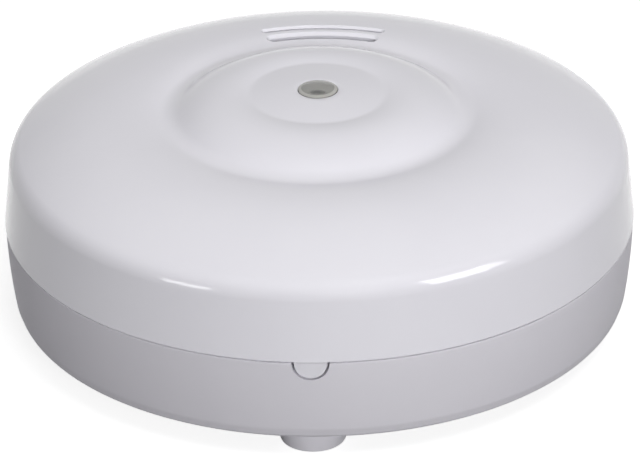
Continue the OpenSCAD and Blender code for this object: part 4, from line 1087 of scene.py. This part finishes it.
def makeCeramic(sizes):
    low = sizes.discLow + sizes.discThick
    top, skin = low + sizes.ceramicThick, sizes.silverHalf
    bm = moved(drum(sizes.ceramic, low, top, sizes.steps, sizes.discEdge), 0, sizes.y, 0)
    silver = moved(drum(sizes.silver, top - skin, top + skin, sizes.steps), 0, sizes.y, 0)
    dot = solderDot(*sizes.ceramicJoint, top, sizes.dotWide, sizes.ceramicDot)
    return gather(paint(bm, 0), paint(silver, 1), paint(dot, 2))


finishPiece(makeHolder(sounderSizes), "sounderHolder", "sounder_holder", "holder_black", "holderBlack")
finishPiece(makeDisc(sounderSizes), "sounderDisc", "sounder_disc", "brass", "discBrass", "solderTin")
finishPiece(makeCeramic(sounderSizes), "sounderCeramic", "sounder_ceramic", "ceramic",
            "ceramicEdge", "discSilver", "solderTin")
print("lamp, screws and sounder made")


# Parts on the board

chipSizes = Sizes(
    x=-17, y=5, long=9.6, wide=6.4, high=3.4, lift=0.5, taper=0.96, edge=0.12, notch=0.8, notchDeep=0.5,
    dimple=0.5, dimpleDeep=0.15, dimpleAt=(1.5, 1.3))
coilSizes = Sizes(
    x=17, y=8, radius=4.2, high=7.5, flange=1.2, core=2, edge=0.15, wound=3.5, turns=13,
    turnLine=((0.45, 0), (0.12, 0.2), (0, 0.5), (0.12, 0.8)), steps=64)
canSizes = Sizes(
    x=10.5, y=1.6, radius=2.5, high=8, grooveAt=1, footLine=((0.2, 0), (0, 0.2)), grooveLine=((0, -0.3),
    (0.21, -0.1), (0.21, 0.1), (0, 0.3)), topLine=((0, -0.25), (0.1, -0.06), (0.25, 0), (0.45, -0.06),
    (0.45, -0.16)), face=2.07, ventLong=3, ventWide=0.16, ventDeep=0.28, stripe=26, stripeAt=110, steps=64)
transistorSizes = Sizes(x=-8.2, y=0.8, radius=2.4, flatAt=-1.2, high=4.6, lift=1.6, edge=0.14)
pillSizes = Sizes(
    places=((-8.6, 6), (5.8, 4.8)), radius=2, half=0.8, lift=0.8, leg=1.27, line=((2, 0), (0.8, 0.04),
    (0.3, 0.24), (0.06, 0.56)), legHalf=0.25, legSunk=0.05, legEdge=0.06, dotWide=0.7, dotHigh=0.4)


def makeChip(sizes):
    low, taper = seat + sizes.lift, sizes.taper
    top = low + sizes.high
    middle = Vector((sizes.x, sizes.y, low + sizes.high / 2))
    half = Vector((sizes.long, sizes.wide, sizes.high)) / 2
    bm = sliced(block(middle - half, middle + half, 0), middle, (0, 0, 1))
    ends = [v for v in bm.verts if abs(v.co.z - middle.z) > half.z / 2]
    bmesh.ops.scale(bm, verts=ends, vec=(taper, taper, 1), space=Matrix.Translation(-middle))
    roundEdges(bm, sizes.edge, 30)
    notch = drum(sizes.notch, top - sizes.notchDeep, top + cutOver, 32)
    bm = combine(bm, moved(notch, middle.x - half.x * taper, middle.y, 0), "DIFFERENCE")
    dimple = drum(sizes.dimple, top - sizes.dimpleDeep, top + cutOver, 24)
    inX, inY = sizes.dimpleAt
    return combine(bm, moved(dimple, middle.x - half.x + inX, middle.y - half.y + inY, 0), "DIFFERENCE")


def makeCore(sizes):
    radius, core, top = sizes.radius, sizes.core, seat + sizes.high
    low, high = seat + sizes.flange, top - sizes.flange
    bm = turned(capped([(radius, seat), (radius, low), (core, low), (core, high), (radius, high),
                        (radius, top)]), sizes.steps, sizes.edge)
    return moved(bm, sizes.x, sizes.y, 0)


def makeWinding(sizes):
    core, wound = sizes.core, sizes.wound
    low, high = seat + sizes.flange, seat + sizes.high - sizes.flange
    pitch = (high - low) / sizes.turns
    bulge = [(inset * pitch, rise * pitch) for inset, rise in sizes.turnLine]
    line = [(core, low)]
    for i in range(sizes.turns):
        line += rimLine(wound, low + i * pitch, bulge)
    line += rimLine(wound, high, bulge[:1]) + [(core, high), (core, low)]
    return moved(turned(line, sizes.steps, 0), sizes.x, sizes.y, 0)


def makeCapacitor(sizes):
    radius, top = sizes.radius, seat + sizes.high
    bm = turned(capped(rimLine(radius, seat, sizes.footLine)
                       + rimLine(radius, seat + sizes.grooveAt, sizes.grooveLine)
                       + rimLine(radius, top, sizes.topLine)), sizes.steps, 0)
    bm = crossCut(bm, sizes.ventLong, sizes.ventWide, top - sizes.ventDeep, top)  # scored vent
    for face in bm.faces:  # sleeve, bare end and stripe
        middle = face.calc_center_median()
        turn = degrees(atan2(middle.y, middle.x))
        inside = middle.xy.length < sizes.face
        face.material_index = 1 if inside else (2 if abs(turn - sizes.stripeAt) < sizes.stripe else 0)
    return moved(bm, sizes.x, sizes.y, 0)


def makeTransistor(sizes):
    low = seat + sizes.lift
    bm = flatSided(sizes.radius, sizes.flatAt, low, low + sizes.high, 36)
    roundEdges(bm, sizes.edge)
    return moved(bm, sizes.x, sizes.y, 0)


def makeResistor(sizes, x, y):
    half, axis, reach = sizes.half, sizes.axis, sizes.reach
    bm = turned(capped(bothEnds(sizes.radius, -half, half, sizes.line)), 40, 0)
    for place in sizes.bands:
        for edge in (place - sizes.bandHalf, place + sizes.bandHalf):
            sliced(bm, (0, 0, edge), (0, 0, 1))
    for face in bm.faces:
        z = face.calc_center_median().z
        for place, index in sizes.bands.items():
            if abs(z - place) < sizes.bandHalf:
                face.material_index = index
    parts = [moved(rotated(bm, 90, "Y"), x, y, axis)]
    for side in (-1, 1):
        route = [(x + side * (half - sizes.wireSunk), y, axis)]
        route += [(x + side * (reach + out), y, axis + rise) for out, rise in sizes.bend]
        route.append((x + side * reach, y, seat - sizes.wireLow))
        parts.append(paint(wire(route, sizes.wire, 5), 4))
    return gather(*parts)


def makePill(sizes, x, y):
    radius, half, leg = sizes.radius, sizes.half, sizes.legHalf
    middle = seat + sizes.lift + radius
    bm = rotated(turned(bothEnds(radius, -half, half, sizes.line, [(radius, 0)]), 40, 0), 90, "X")
    parts = [moved(bm, x, y, middle)]
    for foot in (x - sizes.leg, x + sizes.leg):
        parts.append(paint(block((foot - leg, y - leg, seat - sizes.legSunk), (foot + leg, y + leg, middle),
                                 sizes.legEdge), 1))
        parts.append(paint(solderDot(foot, y, seat, sizes.dotWide, sizes.dotHigh), 2))
    return gather(*parts)


finishPiece(makeChip(chipSizes), "chip", "controller_chip", "chip_black", "epoxyBlack")
finishPiece(makeCore(coilSizes), "coilCore", "coil_core", "ferrite", "ferriteGrey")
finishPiece(makeWinding(coilSizes), "coilWinding", "coil_winding", "copper", "windingCopper")
finishPiece(makeCapacitor(canSizes), "canCapacitor", "can_capacitor", "can_sleeve",
            "sleeveBlue", "canAluminium", "sleeveStripe")
finishPiece(makeTransistor(transistorSizes), "transistorBody", "transistor", "chip_black", "epoxyBlack")
finishPiece(gather(*[makeResistor(resistorSizes, x, y) for x, y in resistorSizes.places]), "resistorSet",
            "resistors", "resistor_tan", "resistorBody", "bandBrown", "bandRed", "bandGold", "tinned")
finishPiece(gather(*[makePill(pillSizes, x, y) for x, y in pillSizes.places]), "discCapacitors",
            "disc_capacitors", "disc_orange", "discLacquer", "tinned", "solderTin")

pinSizes = Sizes(weld=0.00001, soft=0.00006)
for pinNode in ("chip_legs", "transistor_legs", "lamp_pins"):  # the solids' own pins, softened and tinned
    pins = nodes[pinNode]
    for pinSlot in pins.material_slots:
        pinSlot.material = finishes["tinned"]
    weld = pins.modifiers.new("weld", "WELD")
    weld.merge_threshold = pinSizes.weld
    soften = pins.modifiers.new("soften", "BEVEL")
    soften.width = pinSizes.soft
    soften.segments = 2
    soften.limit_method = "ANGLE"
print("board parts made")


# Floor, lights and camera

stageSizes = Sizes(
    radius=4, rough=0.9, paper=40, dark=colour(0.42, 0.42, 0.42), light=colour(0.44, 0.44, 0.44), glow=0.8,
    dim=colour(0.2, 0.2, 0.205))
worldSizes = Sizes(level=0.06, overhead=1.15, height=0.62, soft=0.36)
white = colour(1, 1, 1)


def straightRays(root):  # 1 for what is seen, mirrored or looked at through clear plastic
    path = root.add("ShaderNodeLightPath").socket.node.outputs
    seen, mirrored, through = [Strand(root.tree, path[f"Is {kind} Ray"])
                               for kind in ("Camera", "Glossy", "Transmission")]
    return root.maths("MINIMUM", seen + mirrored + through, 1), mirrored


def makeStage(sizes):  # white to look at, darker for scattered light
    bm = bmesh.new()
    bmesh.ops.create_circle(bm, cap_ends=True, radius=sizes.radius, segments=64)
    floor = asObject(bm, "floor")
    made, shader, place = openMaterial("paperFloor", Roughness=sizes.rough, Emission_Color=white,
                                       Emission_Strength=sizes.glow)
    plug(shader, "Base Color", place.noise(sizes.paper, 2).blend(sizes.dark, sizes.light))
    direct, mirrored = straightRays(place)
    dim = place.add("ShaderNodeBsdfDiffuse", None, {"Color": sizes.dim})
    mixed = place.add("ShaderNodeMixShader", None,
                      {0: direct, 1: dim, 2: Strand(place.tree, shader.outputs["BSDF"])})
    place.tree.links.new(mixed.socket, place.tree.nodes["Material Output"].inputs["Surface"])
    floor.data.materials.append(made)
    floor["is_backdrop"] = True


def makeWorld(sizes):  # white to look at, brighter overhead where it is mirrored
    world = bpy.data.worlds.new("studio")
    world.use_nodes = True
    scene.world = world
    root = Strand(world.node_tree)
    back = world.node_tree.nodes["Background"]
    back.inputs["Color"].default_value = white
    seen, mirrored = straightRays(root)
    height = root.add("ShaderNodeSeparateXYZ", None, {0: root.add("ShaderNodeTexCoord")}, out=2)
    glow = mirrored * height.above(sizes.height, sizes.soft) * sizes.overhead
    plug(back, "Strength", sizes.level + seen * (1 - sizes.level) + glow)


def outward(azimuth, elevation):  # direction from the object, azimuth 0 in front
    turn, lift = radians(azimuth), radians(elevation)
    return Vector((sin(turn) * cos(lift), -cos(turn) * cos(lift), sin(lift)))


lampAway = {"sheet": 1.2, "panel": 1.1}
lampAim = Vector((0, 0, 0.02))
# Sheets light without being mirrored, panels show only as streaks.
# Kind, azimuth, elevation, width, height and watts.
lamps = {"keySheet": ("sheet", 46, 65, 0.6, 0.5, 5.1),
         "topSheet": ("sheet", 0, 85, 0.4, 0.3, 1.1),
         "backSheet": ("sheet", 160, 35, 0.4, 0.3, 1.5),
         "frontSheet": ("sheet", 14, 21, 0.4, 0.3, 7.9),
         "rightPanel": ("panel", 52, 25, 0.42, 0.42, 4.7),
         "rightStrip": ("panel", 67, 27, 0.15, 0.36, 0.9),
         "leftFill": ("sheet", -105, 14, 0.5, 0.3, 1.7),
         "leftPanel": ("panel", -45, 9, 0.33, 0.24, 1.4)}
for lampName, (kind, azimuth, elevation, wide, high, watts) in lamps.items():
    lamp = bpy.data.lights.new(lampName, "AREA")
    lamp.shape = "RECTANGLE"
    lamp.size, lamp.size_y = wide, high
    lamp.energy = watts
    holder = bpy.data.objects.new(lampName, lamp)
    scene.collection.objects.link(holder)
    offset = outward(azimuth, elevation) * lampAway[kind]
    holder.location = lampAim + offset
    holder.rotation_euler = (-offset).to_track_quat("-Z", "Y").to_euler()
    holder.visible_glossy = kind == "panel"
    holder.visible_diffuse = kind == "sheet"
makeStage(stageSizes)
makeWorld(worldSizes)

cameraSizes = Sizes(
    azimuth=1.929, elevation=27.958, away=0.5416, seam=0.014, drop=0.003551, slide=0.000068, lens=239.1,
    roll=-0.797, sensor=36, clip=0.01)


def makeCamera(sizes):
    back = outward(sizes.azimuth, sizes.elevation)
    data = bpy.data.cameras.new("camera")
    data.lens = sizes.lens
    data.sensor_width = sizes.sensor
    data.sensor_fit = "HORIZONTAL"
    data.clip_start = sizes.clip
    made = bpy.data.objects.new("camera", data)
    scene.collection.objects.link(made)
    facing = (-back).to_track_quat("-Z", "Y").to_matrix() @ Matrix.Rotation(radians(sizes.roll), 3, "Z")
    place = Vector((0, 0, sizes.seam)) + back * sizes.away
    place += facing @ Vector((sizes.slide, -sizes.drop, 0))
    made.matrix_world = Matrix.Translation(place) @ facing.to_4x4()
    scene.camera = made


makeCamera(cameraSizes)
scene.view_settings.view_transform = "Standard"
print("stage, lamps and camera set")

low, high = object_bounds()
